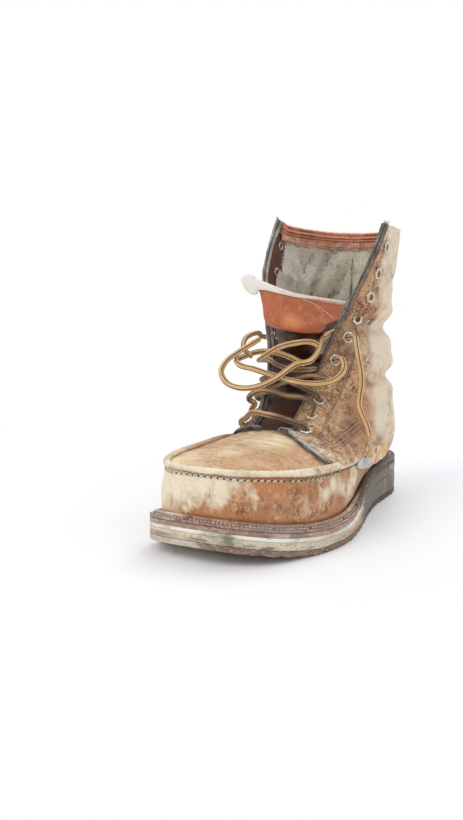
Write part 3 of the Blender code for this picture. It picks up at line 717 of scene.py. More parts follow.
tread_rubber = weathered(
    "moulded_crepe_rubber",
    ("#7d6250", "#98806c", "#c8b8a0"),
    (("#e3dbc9", 1.2), ("#46413a", 0.9), ("#946f5d", 1.0), ("#7f7867", 1.6)),
    mottle=9, fleck=2, relief=(1.2, 0.35), roughness=0.85, stretch=(0.5, 0.5, 1.4),
)
cream_thread = weathered(
    "waxed_linen_thread",
    ("#cbb995", "#e4d8ba", "#f5edd8"),
    (("#ffffff", 1.0), ("#4d3a2c", 1.3), ("#c49a6c", 1.3), ("#8f8672", 1.8)),
    mottle=6, fleck=1.2, relief=(0.5, 0.1), roughness=0.7,
)
rust_thread = weathered(
    "bonded_brown_thread",
    ("#a47a5c", "#cba283", "#ecd0b4"),
    (("#f6e4cd", 1.0), ("#573a2a", 1.1), ("#c4946c", 1.1), ("#a39881", 1.5)),
    mottle=6, fleck=1.2, relief=(0.5, 0.1), roughness=0.7,
)
dark_thread = weathered(
    "soiled_black_thread",
    ("#2e211b", "#4a352a", "#7c5d48"),
    (("#d8c6a8", 1.0), ("#1d1613", 1.3), ("#6e4732", 1.3), ("#8f8672", 1.8)),
    mottle=6, fleck=1.2, relief=(0.5, 0.1), roughness=0.75,
)
eyelet_nickel = weathered(
    "stamped_nickel_plate",
    ("#b9ad98", "#d8cfbd", "#f3eee2"),
    (("#ffffff", 0.8), ("#4a3527", 1.3), ("#b88b5c", 1.3), ("#8d7f6a", 1.8)),
    mottle=5, fleck=1.4, relief=(0.9, 0.03), roughness=0.34, metallic=0.75,
)
flesh_leather = weathered(
    "buffed_flesh_side",
    ("#d8cebf", "#e5dccf", "#f2eadf"),
    (("#f3ece1", 1.0), ("#a08c78", 1.3), ("#e0c3a4", 1.3), ("#b7af9d", 1.6)),
    mottle=12, fleck=2.4, relief=(1.0, 0.08), roughness=0.85,
)
footbed_leather = weathered(
    "vegetable_tanned_footbed",
    ("#8a6747", "#a98663", "#c7a983"),
    (("#d9c4a2", 1.3), ("#3c2c20", 1.3), ("#a9784a", 1.3), ("#867d6b", 1.8)),
    mottle=16, fleck=3, relief=(1.4, 0.1), roughness=0.75,
)
torn_leather = weathered(
    "torn_raw_leather",
    ("#e0a768", "#f6cc92", "#fde8c2"),
    (("#fdf3dd", 0.8), ("#5d3a22", 0.8), ("#c8853f", 0.8), ("#b7af9d", 1.3)),
    mottle=7, fleck=1.5, relief=(0.8, 0.25), roughness=0.8,
)


# A braid's cell is this many mm long, and this many lie round the lace
BRAID_LENGTH, BRAID_AROUND = 2.6, 4


def lace_finish(name, main, tracer, shade):
    """Braided cotton with dark tracer yarns. Its u counts the braid's cells and its v millimetres."""
    made, tree, shader = new_material(name)
    lay = node(tree, "UVMap", {}, uv_map="lay").outputs["UV"]
    around, along = node(tree, "SeparateXYZ", {"Vector": lay}).outputs[:2]
    place = node(tree, "TexCoord", {}).outputs["Object"]
    soil = lumps(tree, place, 9, 4, 0.65)
    fuzz = lumps(tree, place, 0.7, 2)
    cells = maths(tree, "MULTIPLY", along, 1 / BRAID_LENGTH)
    waves = []
    for direction in ("ADD", "SUBTRACT"):
        turn = maths(tree, "MULTIPLY", maths(tree, direction, cells, around), 2 * math.pi)
        waves.append(maths(tree, "SINE", turn))
    diamonds = maths(tree, "MULTIPLY", *waves)
    # A tracer runs along the lace between each cell and the next
    line = maths(tree, "SINE", maths(tree, "MULTIPLY", around, 2 * math.pi))
    wear_and_shade = node(tree, "Attribute", {}, attribute_name="wear_and_shade")
    worn, dark = node(tree, "SeparateColor", {"Color": wear_and_shade.outputs["Color"]}).outputs[:2]
    colour = linear(main)
    for amount, tone in (
        (mapped(tree, soil, 0.45, 0.7, 0.4), shaded(colour, 0.62)),
        (worn, linear("#f8dfb0")),
        (mapped(tree, line, 0.35, 0.75, 0.95), linear(tracer)),
        (mapped(tree, diamonds, -0.8, 0.0, 0.0, 0.6), linear(shade)),
        (dark, linear("#2a211b")),
    ):
        colour = laid_over(tree, amount, colour, tone)
    tree.links.new(colour, shader.inputs["Base Color"])
    add_relief(tree, shader, maths(tree, "MULTIPLY_ADD", fuzz, 0.6, diamonds), 0.3, 0.8)
    shader.inputs["Roughness"].default_value = 0.8
    shader.inputs["Sheen Weight"].default_value = 0.25
    return made


# Braided cotton over a core, dyed tan with brown tracer yarns
lace_cotton = lace_finish("braided_cotton_lace", "#fdd08e", "#63300f", "#9c5f26")
tip_plastic = weathered(
    "shrunk_acetate_tip",
    ("#b4936a", "#cbae84", "#e6d3b0"),
    (("#f6ead2", 0.3), ("#5f4a35", 0.5), ("#c19560", 0.5), ("#8f8672", 0.7)),
    mottle=5, fleck=1.5, relief=(1.0, 0.05), roughness=0.4,
)


# Camera


def make_camera():
    """The view the boot is seen from, a little above the ankle and off the lateral toe."""
    data = bpy.data.cameras.new("camera")
    data.lens = 37.57
    data.sensor_width = 36
    camera = bpy.data.objects.new("camera", data)
    camera.location = (0.2869, -0.6414, 0.1883)
    camera.rotation_euler = (math.radians(90 - 8), 0, math.radians(28.8))
    bpy.context.scene.collection.objects.link(camera)
    bpy.context.scene.camera = camera


make_camera()

# Laces

FLANGE_HEIGHT = 1.5
# The lace's radius, and how much thinner it is pulled where it lies deep
LACE, PULLED = 2.25, 0.2
LACE_SEAT = FLANGE_HEIGHT + LACE + GAP
LACE_LEAD = 8.5
LACE_STEP, CROSSING_STEP = 0.75, 0.85
# Each run of lace: the eyelets that it starts and ends at, or None at a loose end, and its middle line
ROUTES = {
    "lace_bar_1": ((LATERAL, 1), (MEDIAL, 1), ((3, -44, 88), (-15, -45.5, 91.5), (-29, -43, 91.5))),
    "lace_bar_2": ((LATERAL, 2), (MEDIAL, 2), (
        (15, -20.5, 96.5), (7, -18.5, 102), (-9, -21, 104),
        (-25, -20, 107), (-37, -21, 105.5), (-43.5, -20, 99),
    )),
    "lace_loop_outer": ((LATERAL, 5), None, (
        (28, 6, 132.5), (32, 0, 127), (32, -8, 121), (28, -15, 117), (20, -20, 115), (4, -27, 116),
        (-15, -29, 120), (-33, -31, 125), (-48, -29, 128), (-53, -24, 131), (-49, -17, 134), (-42, -9, 137),
        (-34, -7, 138), (-21, -10, 137), (-10, -11, 134), (-1, -6, 129),
    )),
    "lace_loop_inner": (None, None, (
        (12.5, 29, 154), (9.8, 22, 152.5), (9.6, 12.5, 150.3), (10.5, 3.3, 147.9), (11, -6, 138),
        (8, -14, 132), (-1, -21, 129.5), (-6, -27, 125), (-12, -35, 119), (-20, -38, 114.5),
        (-31, -41, 111), (-43, -43, 111), (-54, -41, 115), (-60, -37, 123), (-58, -33, 130),
        (-52, -25, 137), (-45, -17, 143), (-38, -13, 148),
    )),
    "lace_strand": (None, None, (
        (-36, -17, 131), (-25, -19, 138), (-14, -19, 143.5), (-4.5, -14.3, 146),
        (3.2, -9.3, 147), (7.6, -5.6, 146), (10.4, -2, 143.2),
    )),
    "lace_end_outer": ((LATERAL, 6), None, (
        (33, 20, 150), (37, 14, 142.5), (41, 9, 132), (44, 6, 123), (45, 5, 114), (44.5, 3, 105),
        (45.5, -1, 97), (50, -6, 90), (55, -9, 83), (58, -11, 76.5),
    )),
}
# Runs that lie deep between the quarters, under the loops
CROSSINGS = (
    ((LATERAL, 3), (MEDIAL, 4), ((2, -9, 109), (-15, -7, 114), (-32, 0, 116))),
    ((LATERAL, 4), (MEDIAL, 3), ((2, 0, 119), (-15, -10, 113), (-31, -12, 105))),
    (None, (MEDIAL, 5), (
        (8.5, 20, 122.5), (3.6, 14, 123), (2, 5, 123.6), (2, -4, 124),
        (-10, -9, 124), (-25, -5, 127), (-36, 4, 130),
    )),
    ((MEDIAL, 6), None, ((-50, 8, 152), (-54, -6, 148), (-52, -14, 141), (-44, -16, 134))),
)
# The tip on the hanging end, and its radius
TIP, TIP_RADIUS = ((58.2, -11.2, 75.4), (59, -11.5, 66), (59.5, -11.6, 59)), 1.6


def eyelet_place(number, side):
    """The middle of an eyelet on the eyestay's face, and the direction that it faces."""
    s, distance = EYELETS[number - 1]
    q = setback(s, side, distance)
    normal = upper_normal(s, q, side)
    return upper_point(s, q, side) + normal * OVERLAY, normal


def lead_out(eyelet, towards):
    """A lace's way out of an eyelet: up through its bore, over the rim, and off towards the next point."""
    side, number = eyelet
    middle, normal = eyelet_place(number, side)
    seat = middle + normal * LACE_SEAT
    ahead = np.array(towards) - seat
    ahead -= normal * (ahead @ normal)
    reach = np.linalg.norm(ahead)
    out = [middle - normal * 4, middle + normal * 0.5]
    if reach < LACE_LEAD:
        return out + [seat + ahead * 0.3]
    return out + [seat + ahead / reach * 1.6, seat + ahead / reach * LACE_LEAD]


def lace_line(first, last, route, spacing, led=4):
    """The middle of a run of lace, with the first led points of its way out of the eyelet at each end."""
    points = list(route)
    if first:
        points = lead_out(first, route[0])[:led] + points
    if last:
        points += lead_out(last, route[-1])[:led][::-1]
    return evenly(points, spacing)


def carried_frames(line):
    """Directions along a line and two across it that don't spin as it turns."""
    along = unit(np.gradient(line, axis=0))
    across = np.zeros_like(line)
    across[0] = unit(np.cross(along[0], (0.3, 0.2, 1.0)))
    for i in range(1, len(line)):
        across[i] = unit(across[i - 1] - along[i] * (across[i - 1] @ along[i]))
    return along, across, np.cross(along, across)


def tube(name, line, radius_at, sides=16, across=None):
    """A closed round tube along a line in mm. radius_at(place along it, turn from 0 to 1) may return a width
    and a height; across sets which way the width lies. Its u counts a braid's cells and its v millimetres."""
    along, wide, high = carried_frames(line)
    if across is not None:
        wide = unit(across - along * (across * along).sum(-1, keepdims=True))
        high = np.cross(along, wide)
    run = run_along(line)
    # Two more rings at each end round it off and close it to a point
    rows = np.concatenate([[-2, -1], np.arange(len(line)), [len(line), len(line) + 1]])

    def place(row, turn):
        i = np.clip(row, 0, len(line) - 1).astype(int)
        radius = radius_at(run[i], turn)
        width, height = radius if isinstance(radius, tuple) else (radius, radius)
        end = np.where(row < 0, -row, np.where(row > len(line) - 1, row - len(line) + 1, 0))
        share = np.array((1.0, 0.72, 0.0))[end.astype(int)]
        push = np.array((0.0, 0.6, 0.9))[end.astype(int)] * np.where(row < 0, -1, 1)
        angle = 2 * math.pi * turn
        return (
            line[i]
            + wide[i] * (np.cos(angle) * width * share)[:, None]
            + high[i] * (np.sin(angle) * height * share)[:, None]
            + along[i] * (push * height)[:, None]
        )

    turns = np.linspace(0, 1, sides + 1)
    lengths = np.concatenate([[0, 0], run, run[-1:], run[-1:]])
    return grid(name, rows, turns, place, lay=(lengths, BRAID_AROUND * turns))


def braided(radius):
    """The radius round a braided lace: yarns that cross in small diamonds stand a little proud."""
    def at(run, turn):
        cells = np.sin(2 * np.pi * (run / BRAID_LENGTH + BRAID_AROUND * turn))
        cells *= np.sin(2 * np.pi * (run / BRAID_LENGTH - BRAID_AROUND * turn))
        return radius * (1 + 0.11 * cells + 0.03 * np.sin(run * 0.4))
    return at


def soil_and_shade_lace(lace, low):
    """Pales a lace where it has been rubbed, and darkens it in patches by up to low: all of it where low is
    1. Where a run lies low in the throat, this darkening is painted shade as well as dirt.
    """
    points = points_of(lace)
    rubbed = ramp(noise(points, 14, 5), 0.1, 0.7) + ramp(-points[:, 0], 20, 50) * ramp(points[:, 2], 108, 125)
    paint(lace, worn=0.4 * rubbed, dark=low * (0.35 + 0.65 * ramp(noise(points, 17, 8), -0.5, 0.3)))


def make_crossings():
    lines = []
    for number, run in enumerate(CROSSINGS):
        line = lace_line(*run, CROSSING_STEP, led=3)
        lace = tube(f"crossing_{number}", line, braided(LACE - PULLED))
        # The crossings lie deep in the throat: their darkening is painted shade over their dirt
        soil_and_shade_lace(lace, 0.75 if number < 3 else 0.3)
        lines.append(lace)
    finish(join(lines, "braid_crossings"), lace_cotton, "lace")


def make_tip():
    def crimped(run, turn):
        return TIP_RADIUS * (1 - 0.12 * ramp(run, 13, 17))
    tip = tube("aglet", evenly(TIP, 1.0), crimped, sides=14)
    return finish(tip, tip_plastic, "lace_tip", "lace_tip")


def make_laces():
    made = {}
    for name, run in ROUTES.items():
        line = lace_line(*run, LACE_STEP)
        lace = tube(name.replace("lace", "braid"), line, braided(LACE))
        # The bars at the throat's foot are darkened as painted shade over their dirt; the loops carry only
        # dirt
        soil_and_shade_lace(lace, 0.8 if "bar" in name else 0.12)
        made[name] = finish(lace, lace_cotton, "lace", name), line
    make_crossings()
    tip = make_tip()
    for name, far_end, others in (
        ("lace_loop_outer", "object", ()),
        ("lace_loop_inner", "object", ()),
        ("lace_strand", "object", ()),
        ("lace_end_outer", "fitting", (tip,)),
    ):
        lace, line = made[name]


make_laces()

# Sole

# Steps round the sole's thick layers, and round the thin midsole
AROUND_THICK, AROUND_THIN = 560, 480


def around_sole(count):
    """Angles round the sole that are evenly spaced along its edge, toe to heel and back, 0 to 360."""
    angles = np.linspace(0, 180, 3601)
    x, y = rim(angles, 0, LATERAL)
    run = np.concatenate([[0], np.cumsum(np.hypot(np.diff(x), np.diff(y)))])
    half = np.interp(np.linspace(0, run[-1], count // 2 + 1), run, angles)
    return np.concatenate([half, 360 - half[-2::-1]])


def around_rim(angle, inset):
    """x, y on the outline at an angle from 0 to 360: down the lateral side and back up the medial one."""
    lateral = np.array(rim(np.minimum(angle, 180), inset, LATERAL))
    medial = np.array(rim(np.minimum(360 - angle, 180), inset, MEDIAL))
    return np.where(angle <= 180, lateral, medial)


def sole_layer(name, section, count, roughen=None):
    """A closed layer of the sole. Each corner of its section is how far out from the middle line it lies
    (1 on the outline), its inset in mm, and a function of y that gives its height."""
    corners = np.arange(len(section))

    def place(angle, corner):
        points = np.zeros((len(angle), 3))
        for k, (spread, inset, height) in enumerate(section):
            here = corner == k
            x, y = around_rim(angle[here], inset)
            middle = outline("centre", y)
            points[here] = np.stack([middle + (x - middle) * spread, y, height(y)], -1)
            if roughen and spread == 1:
                ahead = np.array(around_rim((angle[here] + 0.5) % 360, inset))
                behind = np.array(around_rim((angle[here] - 0.5) % 360, inset))
                away = unit(np.stack([(ahead - behind)[1], -(ahead - behind)[0], 0 * x], -1))
                turned = np.where((away * np.stack([x - middle, y * 0.6, 0 * x], -1)).sum(-1) < 0, -1, 1)
                points[here] += away * (turned * roughen(points[here]))[:, None]
        return points

    return grid(name, around_sole(count), corners, place)


def side_rows(low, high, count, top_round=0.35, bottom_round=0.35):
    """The corners of a layer's side wall from the bottom up, with both of its edges rounded."""
    def between(t):
        return 1.0, 0.0, lambda y: (low(y) + bottom_round) * (1 - t) + (high(y) - top_round) * t

    return [
        (1.0, bottom_round, low),
        (1.0, 0.3 * bottom_round, lambda y: low(y) + 0.3 * bottom_round),
        *[between(share) for share in np.linspace(0, 1, count)],
        (1.0, 0.3 * top_round, lambda y: high(y) - 0.3 * top_round),
        (1.0, top_round, high),
    ]


def underside(rise):
    return lambda y: np.maximum(profile("underside", y), 0) + rise


def wedge_top(rise):
    return lambda y: profile("wedge_top", y) + rise


# The tread's ripples, and how far from the middle of the sole they run
RIPPLE_PITCH, RIPPLE_WIDTH, RIPPLE_DEPTH, RIPPLE_REACH = 12.0, 4.6, 1.4, 140.0


def tread(y):
    """The underside of the tread: cross ripples with worn, uneven edges."""
    place = (y + RIPPLE_REACH) / RIPPLE_PITCH
    number = np.floor(place)
    apart = np.abs(place - number - 0.5) * RIPPLE_PITCH + 0.5 * np.sin(number * 2.7)
    depth = RIPPLE_DEPTH * (0.75 + 0.35 * np.sin(number * 1.9 + 1))
    ripple = depth * np.exp(-((apart / (RIPPLE_WIDTH / 2)) ** 4))
    return np.maximum(profile("underside", y), 0) + ripple * (np.abs(y) < RIPPLE_REACH)


def rough(size, depth, seed):
    def at(points):
        return depth * (noise(points, size, seed) + 0.5 * noise(points, size * 0.4, seed + 1))
    return at


def make_tread():
    top = underside(TREAD)
    section = [(spread, 0, top) for spread in (0.0, 0.5, 0.9)]
    section += side_rows(tread, top, 7, bottom_round=0.7)[::-1]
    section += [(spread, 0, tread) for spread in (0.94, 0.8, 0.5, 0.25, 0.0)]
    piece = sole_layer("crepe_tread", section, AROUND_THICK, rough(5, 0.3, 3))
    points = points_of(piece)
    x, y = points.T[:2]
    paint(
        piece,
        worn=0.75 * ramp(-y, 20, 120) * ramp(x, 25, -30),
        dark=0.9 * ramp(y, -20, 40),
        warm=0.9 * ramp(y - x, -150, -110) * (1 - ramp(y, 0, 60)),
        mud=0.5 * ramp(noise(points, 22, 4), 0.0, 0.6),
    )
    finish(piece, tread_rubber, "tread", "outsole")


# Dried mud on the wedge: x, y, z, radius, strength
WEDGE_MUD = ((8, -148, 19, 12, 1.0), (-2, -150, 15, 9, 0.8), (-38, -135, 22, 12, 0.5), (52, -62, 12, 18, 0.5))
# The line where the wedge's two layers meet: its share of the height, its half width and its depth
JOINT, JOINT_WIDTH, JOINT_DEPTH = 0.66, 0.014, 0.8


def make_wedge():
    low, high = underside(TREAD + GAP / 2), wedge_top(GAP / 2)
    shares = np.concatenate([
        np.linspace(0.03, 0.6, 9), [0.63, 0.645, 0.66, 0.675, 0.69], np.linspace(0.72, 0.97, 5),
    ])

    def between(share):
        groove = JOINT_DEPTH * math.exp(-(((share - JOINT) / JOINT_WIDTH) ** 2))
        return 1.0, groove, lambda y: low(y) * (1 - share) + high(y) * share

    section = [(0.0, 0, high), (0.6, 0, high), (1.0, 0.5, high)]
    section += [between(share) for share in shares[::-1]]
    section += [(1.0, 0.5, low), (0.6, 0, low), (0.0, 0, low)]
    piece = sole_layer("foam_wedge", section, AROUND_THICK, rough(7, 0.28, 7))
    points = points_of(piece)
    x, y, z = points.T
    share = (z - low(y)) / np.maximum(high(y) - low(y), 1)
    rubbed = ramp(noise(points * (0.6, 0.6, 1), 12, 17), -0.9, 0.1)
    streaks = 1.0 + 0.5 * noise(points * (1, 1, 0.2), 7, 15)
    patches = ramp(noise(points, 16, 9), -0.1, 0.6)
    flecks = ramp(noise(points * (0.5, 0.5, 2), 5, 19), 0.35, 0.7)
    paint(
        piece,
        worn=0.95 * ramp(share, 0.6, 0.7) * (1 - ramp(y, -20, 30)) * rubbed,
        dark=streaks * ramp(y, -40, 25) + 0.5 * ramp(-share, -0.6, -0.1) * patches + 0.5 * flecks,
        warm=0.75 * (1 - ramp(share, 0.3, 0.6)) * ramp(y - x, -150, -100) * (1 - ramp(y, 0, 60)),
        mud=spots(points, WEDGE_MUD),
    )
    finish(piece, wedge_foam, "foam", "wedge")


def make_midsole():
    low, high = wedge_top(GAP), wedge_top(GAP + MIDSOLE)
    section = [(0.0, 0, high), (0.6, 0, high)] + side_rows(low, high, 4, 0.5, 0.4)[::-1]
    section += [(0.6, 0, low), (0.0, 0, low)]
    piece = sole_layer("edge_midsole", section, AROUND_THIN, rough(9, 0.14, 11))
    points = points_of(piece)
    paint(
        piece,
        worn=0.5 * ramp(noise(points, 18, 2), 0.1, 0.6),
        dark=0.9 * ramp(points[:, 1], -50, 20) + 0.4 * ramp(noise(points, 14, 6), 0.1, 0.6),
    )
    finish(piece, midsole_leather, "midsole", "midsole")


# The welt's rib: its height at the toe and at the heel, where it sinks from one to the other, and its width
RIB_TOE, RIB_HEEL, RIB_FADE = 3.0, 1.2, (-30, 10)
RIB_INSET, RIB_HALF = 4.2, 1.9


def rib_height(y):
    return RIB_TOE + (RIB_HEEL - RIB_TOE) * ramp(y, *RIB_FADE)


def make_welt():
    """The welt, with its rib, its stitching groove and its row of stitches."""
    base, top = GAP + MIDSOLE + GAP, GAP + MIDSOLE + GAP + WELT
    face = wedge_top(top)
    section = [(1.0, 10.6, wedge_top(base)), (1.0, 10.6, face), (1.0, 6.2, face)]
    for turn in np.radians(np.linspace(0, 180, 13)):
        inset = RIB_INSET + RIB_HALF * math.cos(turn)
        rise = math.sin(turn) ** 0.8
        section.append((1.0, inset, lambda y, r=rise: face(y) + r * rib_height(y)))
    section += [(1.0, inset, wedge_top(top - drop)) for inset, drop in ((2.1, 0.25), (1.7, 0.35), (0.9, 0.1))]
    section += side_rows(wedge_top(base), face, 4, 0.6, 0.4)[::-1]
    section.append(section[0])
    piece = sole_layer("stitched_welt", section, AROUND_THICK, rough(10, 0.12, 13))
    points = points_of(piece)
    x, y, z = points.T
    rise = z - face(y)
    # Painted light and shade: the rib's crest and the outer rim towards the heel are painted lighter as
    # highlights; the welt towards the heel and the flat at the rib's foot are painted darker as shade, less
    # on the crest
    edge_x, edge_y = around_rim(around_sole(900), 0.3)
    edge = near(points, np.stack([edge_x, edge_y, face(edge_y)], -1), 0.8)
    lit_crest = ramp(rise, 1.2, 2.4)
    rubbed = lit_crest * (0.25 + 0.75 * ramp(-x + 0.2 * y, -25, 40)) + 0.4 * ramp(noise(points, 20, 21), 0.1, 0.7)
    paint(
        piece,
        worn=rubbed + 0.9 * edge * ramp(y, -40, 10),
        dark=(0.95 * ramp(y, -60, 10) + 0.95 * ramp(-np.abs(rise), -0.6, -0.05)) * (1 - 0.6 * lit_crest),
        warm=0.5 * ramp(rise, 0.8, 2),
        mud=0.8 * ramp(noise(points, 30, 31), 0.1, 0.7),
    )
    finish(piece, welt_leather, "welt", "welt")
    # The stitches are painted darker towards the heel, with the welt's painted shade
    x, y = around_rim(around_sole(1200), 1.35)
    line = np.stack([x, y, wedge_top(top - 0.2)(y)], -1)
    sew("welt_stitches", line, np.array((0, 0, 1.0)), cream_thread, "welt", pitch=2.9, length=2.4,
        thickness=1.15, dark=0.75 * ramp(line[:, 1], -60, 0), lift=0.3)


# Stitching


def resampled(line, spacing, *others):
    """Points at even steps along a dense line, with other values read off at the same places."""
    run = run_along(line)
    at = np.arange(spacing / 2, run[-1] - spacing / 4, spacing)
    return [np.stack([np.interp(at, run, values) for values in table.T], -1) for table in (line, *others)]


def stitch_mesh(length, thickness):
    """One stitch: a blunt bead of thread that is pulled down at its ends."""
    bpy.ops.mesh.primitive_uv_sphere_add(segments=8, ring_count=7, radius=1)
    stitch = bpy.context.object
    co = metres_of(stitch)[:, (2, 0, 1)]
    co[:, 0] = np.sign(co[:, 0]) * np.abs(co[:, 0]) ** 0.7
    co *= np.array((length / 2, thickness / 2, thickness / 2)) * MM
    co[:, 2] -= 0.35 * thickness * MM * (co[:, 0] / (length / 2 * MM)) ** 4
    stitch.data.vertices.foreach_set("co", co.ravel())
    return stitch


def hole_mesh(thickness):
    bpy.ops.mesh.primitive_uv_sphere_add(segments=8, ring_count=4, radius=0.42 * thickness * MM)
    hole = bpy.context.object
    edit(hole, lambda: bpy.ops.transform.resize(value=(1.25, 1.25, 0.3)))
    return hole


def copy_at(master, place, basis):
    one = bpy.data.objects.new(master.name, master.data.copy())
    one.matrix_world = Matrix.Translation(world(place)[0]) @ basis
    bpy.context.scene.collection.objects.link(one)
    return one


def worn_through(i, count, share):
    """Whether a row's stitch is missing: a share of them are, scattered but the same ones each time."""
    return (i * 7919 + count) % 97 < 97 * share


def sew(name, line, normals, thread, slot, pitch=4.0, length=3.0, thickness=0.9, lift=0.1, slant=0.0,
        dark=0.0, holes=True, skip=0.06):
    """A row of stitches along a dense line: rounded thread with its ends pulled down, and the awl's holes.

    Some stitches are missing where the thread has worn through. All of a row's stitches are joined."""
    normals = np.broadcast_to(np.asarray(normals, float), line.shape)
    dark = np.broadcast_to(np.asarray(dark, float), (len(line),))[:, None]
    places, ups, shades = resampled(line, pitch, normals, dark)
    aheads = unit(np.gradient(places, axis=0))
    deselect()
    stitch, hole = stitch_mesh(length, thickness), hole_mesh(thickness)
    threads, punched = [], []
    for i, (place, up, ahead, shade) in enumerate(zip(places, ups, aheads, shades)):
        up = unit(up - ahead * (up @ ahead))
        turned = unit(ahead + slant * np.cross(up, ahead))
        basis = Matrix(np.stack([turned, np.cross(up, turned), up], -1).tolist()).to_4x4()
        if not worn_through(i, len(places), skip):
            one = copy_at(stitch, place + up * lift, basis)
            paint(one, dark=shade[0] + 0.25 * (math.sin(i * 2.1) > 0.6), worn=0.4 * (math.sin(i * 1.3) > 0.3))
            threads.append(one)
        if holes:
            punched.append(copy_at(hole, place + ahead * pitch / 2 + up * 0.02, basis))
    bpy.data.objects.remove(stitch)
    bpy.data.objects.remove(hole)
    for objects, finish_of, label in ((threads, thread, name), (punched, dark_thread, name + "_holes")):
        if objects:
            row = join(objects, label)
            pick(row)
            bpy.ops.object.transform_apply()
            finish(row, finish_of, slot)


make_tread()
make_wedge()
make_midsole()
make_welt()

# Where wear shows on the leather: x, y, z, radius, strength
WORN_SPOTS = (
    (-53, -133, 50, 26, 1.3), (-44, -140, 48, 16, 1.2), (-34, -143, 52, 18, 1.3), (-15, -143, 54, 13, 1.2),
    (0, -141, 54, 10, 1.1), (16, -134, 49, 8, 0.6), (-58, -112, 50, 22, 0.9), (41, -105, 44, 7, 0.5),
    (49, -79, 42, 8, 0.9), (51, -66, 45, 9, 1.0), (52, -54, 41, 10, 1.0), (52, -36, 38, 12, 1.2),
    (49, -18, 43, 11, 1.0), (51, -28, 52, 7, 0.6), (4, -72, 82, 24, 0.95), (-14, -96, 76, 16, 0.7),
    (41, 84, 190, 34, 0.45), (42, 84, 140, 26, 0.5), (45, 66, 222, 24, 0.45), (36, 112, 150, 40, 0.5),
    (44, 96, 86, 32, 0.5), (42, 84, 60, 20, 0.5), (34, 118, 100, 34, 0.5), (43, 62, 84, 16, 0.6),
    (38, 60, 136, 13, 0.6), (44, 6, 60, 8, 0.4), (-30, -10, 92, 10, 0.4),
    (-54, 52, 196, 24, 0.5), (-50, 62, 140, 22, 0.5), (-46, -40, 62, 12, 0.6), (-42, 20, 62, 14, 0.4),
    (-6, 150, 112, 30, 0.6), (48, 48, 238, 12, 0.8), (-50, 46, 240, 14, 0.8), (8, -118, 70, 12, 0.35),
)
# Darker places: x, y, z, radius, strength. Those in the two deep lateral folds and at the foot of the throat,
# under the laces, are painted shade
DARK_SPOTS = (
    (27, -125, 42, 8, 0.5), (35, -116, 35, 7, 0.5), (45, -94, 46, 5, 0.5), (46, -88, 50, 5, 0.55),
    (34, -62, 74, 8, 0.6), (28, -84, 70, 7, 0.4), (34, 4, 84, 10, 0.6), (40, -22, 72, 8, 0.5),
    (36, 50, 157, 8, 0.5), (38, 50, 107, 9, 0.5), (22, 24, 140, 10, 0.6), (20, 20, 128, 9, 0.6),
    (27, 30, 160, 9, 0.6), (4, -43, 80, 12, 0.6), (-30, -42, 79, 10, 0.6), (44, 52, 60, 8, 0.5),
    (41, 90, 50, 10, 0.5), (-47, 10, 60, 16, 0.5), (-40, 100, 66, 22, 0.5), (34, 120, 52, 16, 0.4),
    (-6, 152, 54, 20, 0.5), (40, -104, 38, 10, 0.35), (-44, 24, 112, 14, 0.5), (36, 16, 92, 9, 0.5),
    (41, 26, 78, 9, 0.45), (30, 6, 98, 8, 0.4),
)
# Warmer places: x, y, z, radius, strength. Those in the deep lateral folds are painted shade, the brown in
# their pinches
WARM_SPOTS = (
    (4, -141, 50, 14, 0.6), (28, -126, 50, 18, 0.8), (44, -100, 46, 14, 0.7), (52, -52, 52, 10, 0.7),
    (-16, -145, 40, 14, 0.5), (44, 16, 78, 24, 0.6), (38, 50, 120, 16, 0.6), (44, 40, 84, 18, 0.5),
    (-48, -70, 58, 26, 0.7), (-46, 40, 80, 30, 0.6), (-30, 126, 100, 30, 0.5), (26, 128, 66, 22, 0.5),
    (38, 48, 158, 12, 0.8), (39, 50, 110, 12, 1.0), (-6, -64, 78, 14, 0.45), (20, -74, 70, 14, 0.5),
    (-34, -80, 72, 14, 0.45), (34, 40, 176, 16, 0.5),
)
MUD_SPOTS = (
    (50, -60, 30, 12, 0.4), (52, -30, 32, 12, 0.5), (44, 10, 42, 18, 0.6), (40, 56, 40, 20, 0.8),
    (36, 104, 42, 22, 0.8), (-52, -90, 34, 20, 0.5), (-48, -30, 36, 22, 0.7), (-44, 30, 42, 24, 0.8),
    (-40, 90, 46, 26, 0.8), (-6, 146, 46, 24, 0.8),
)


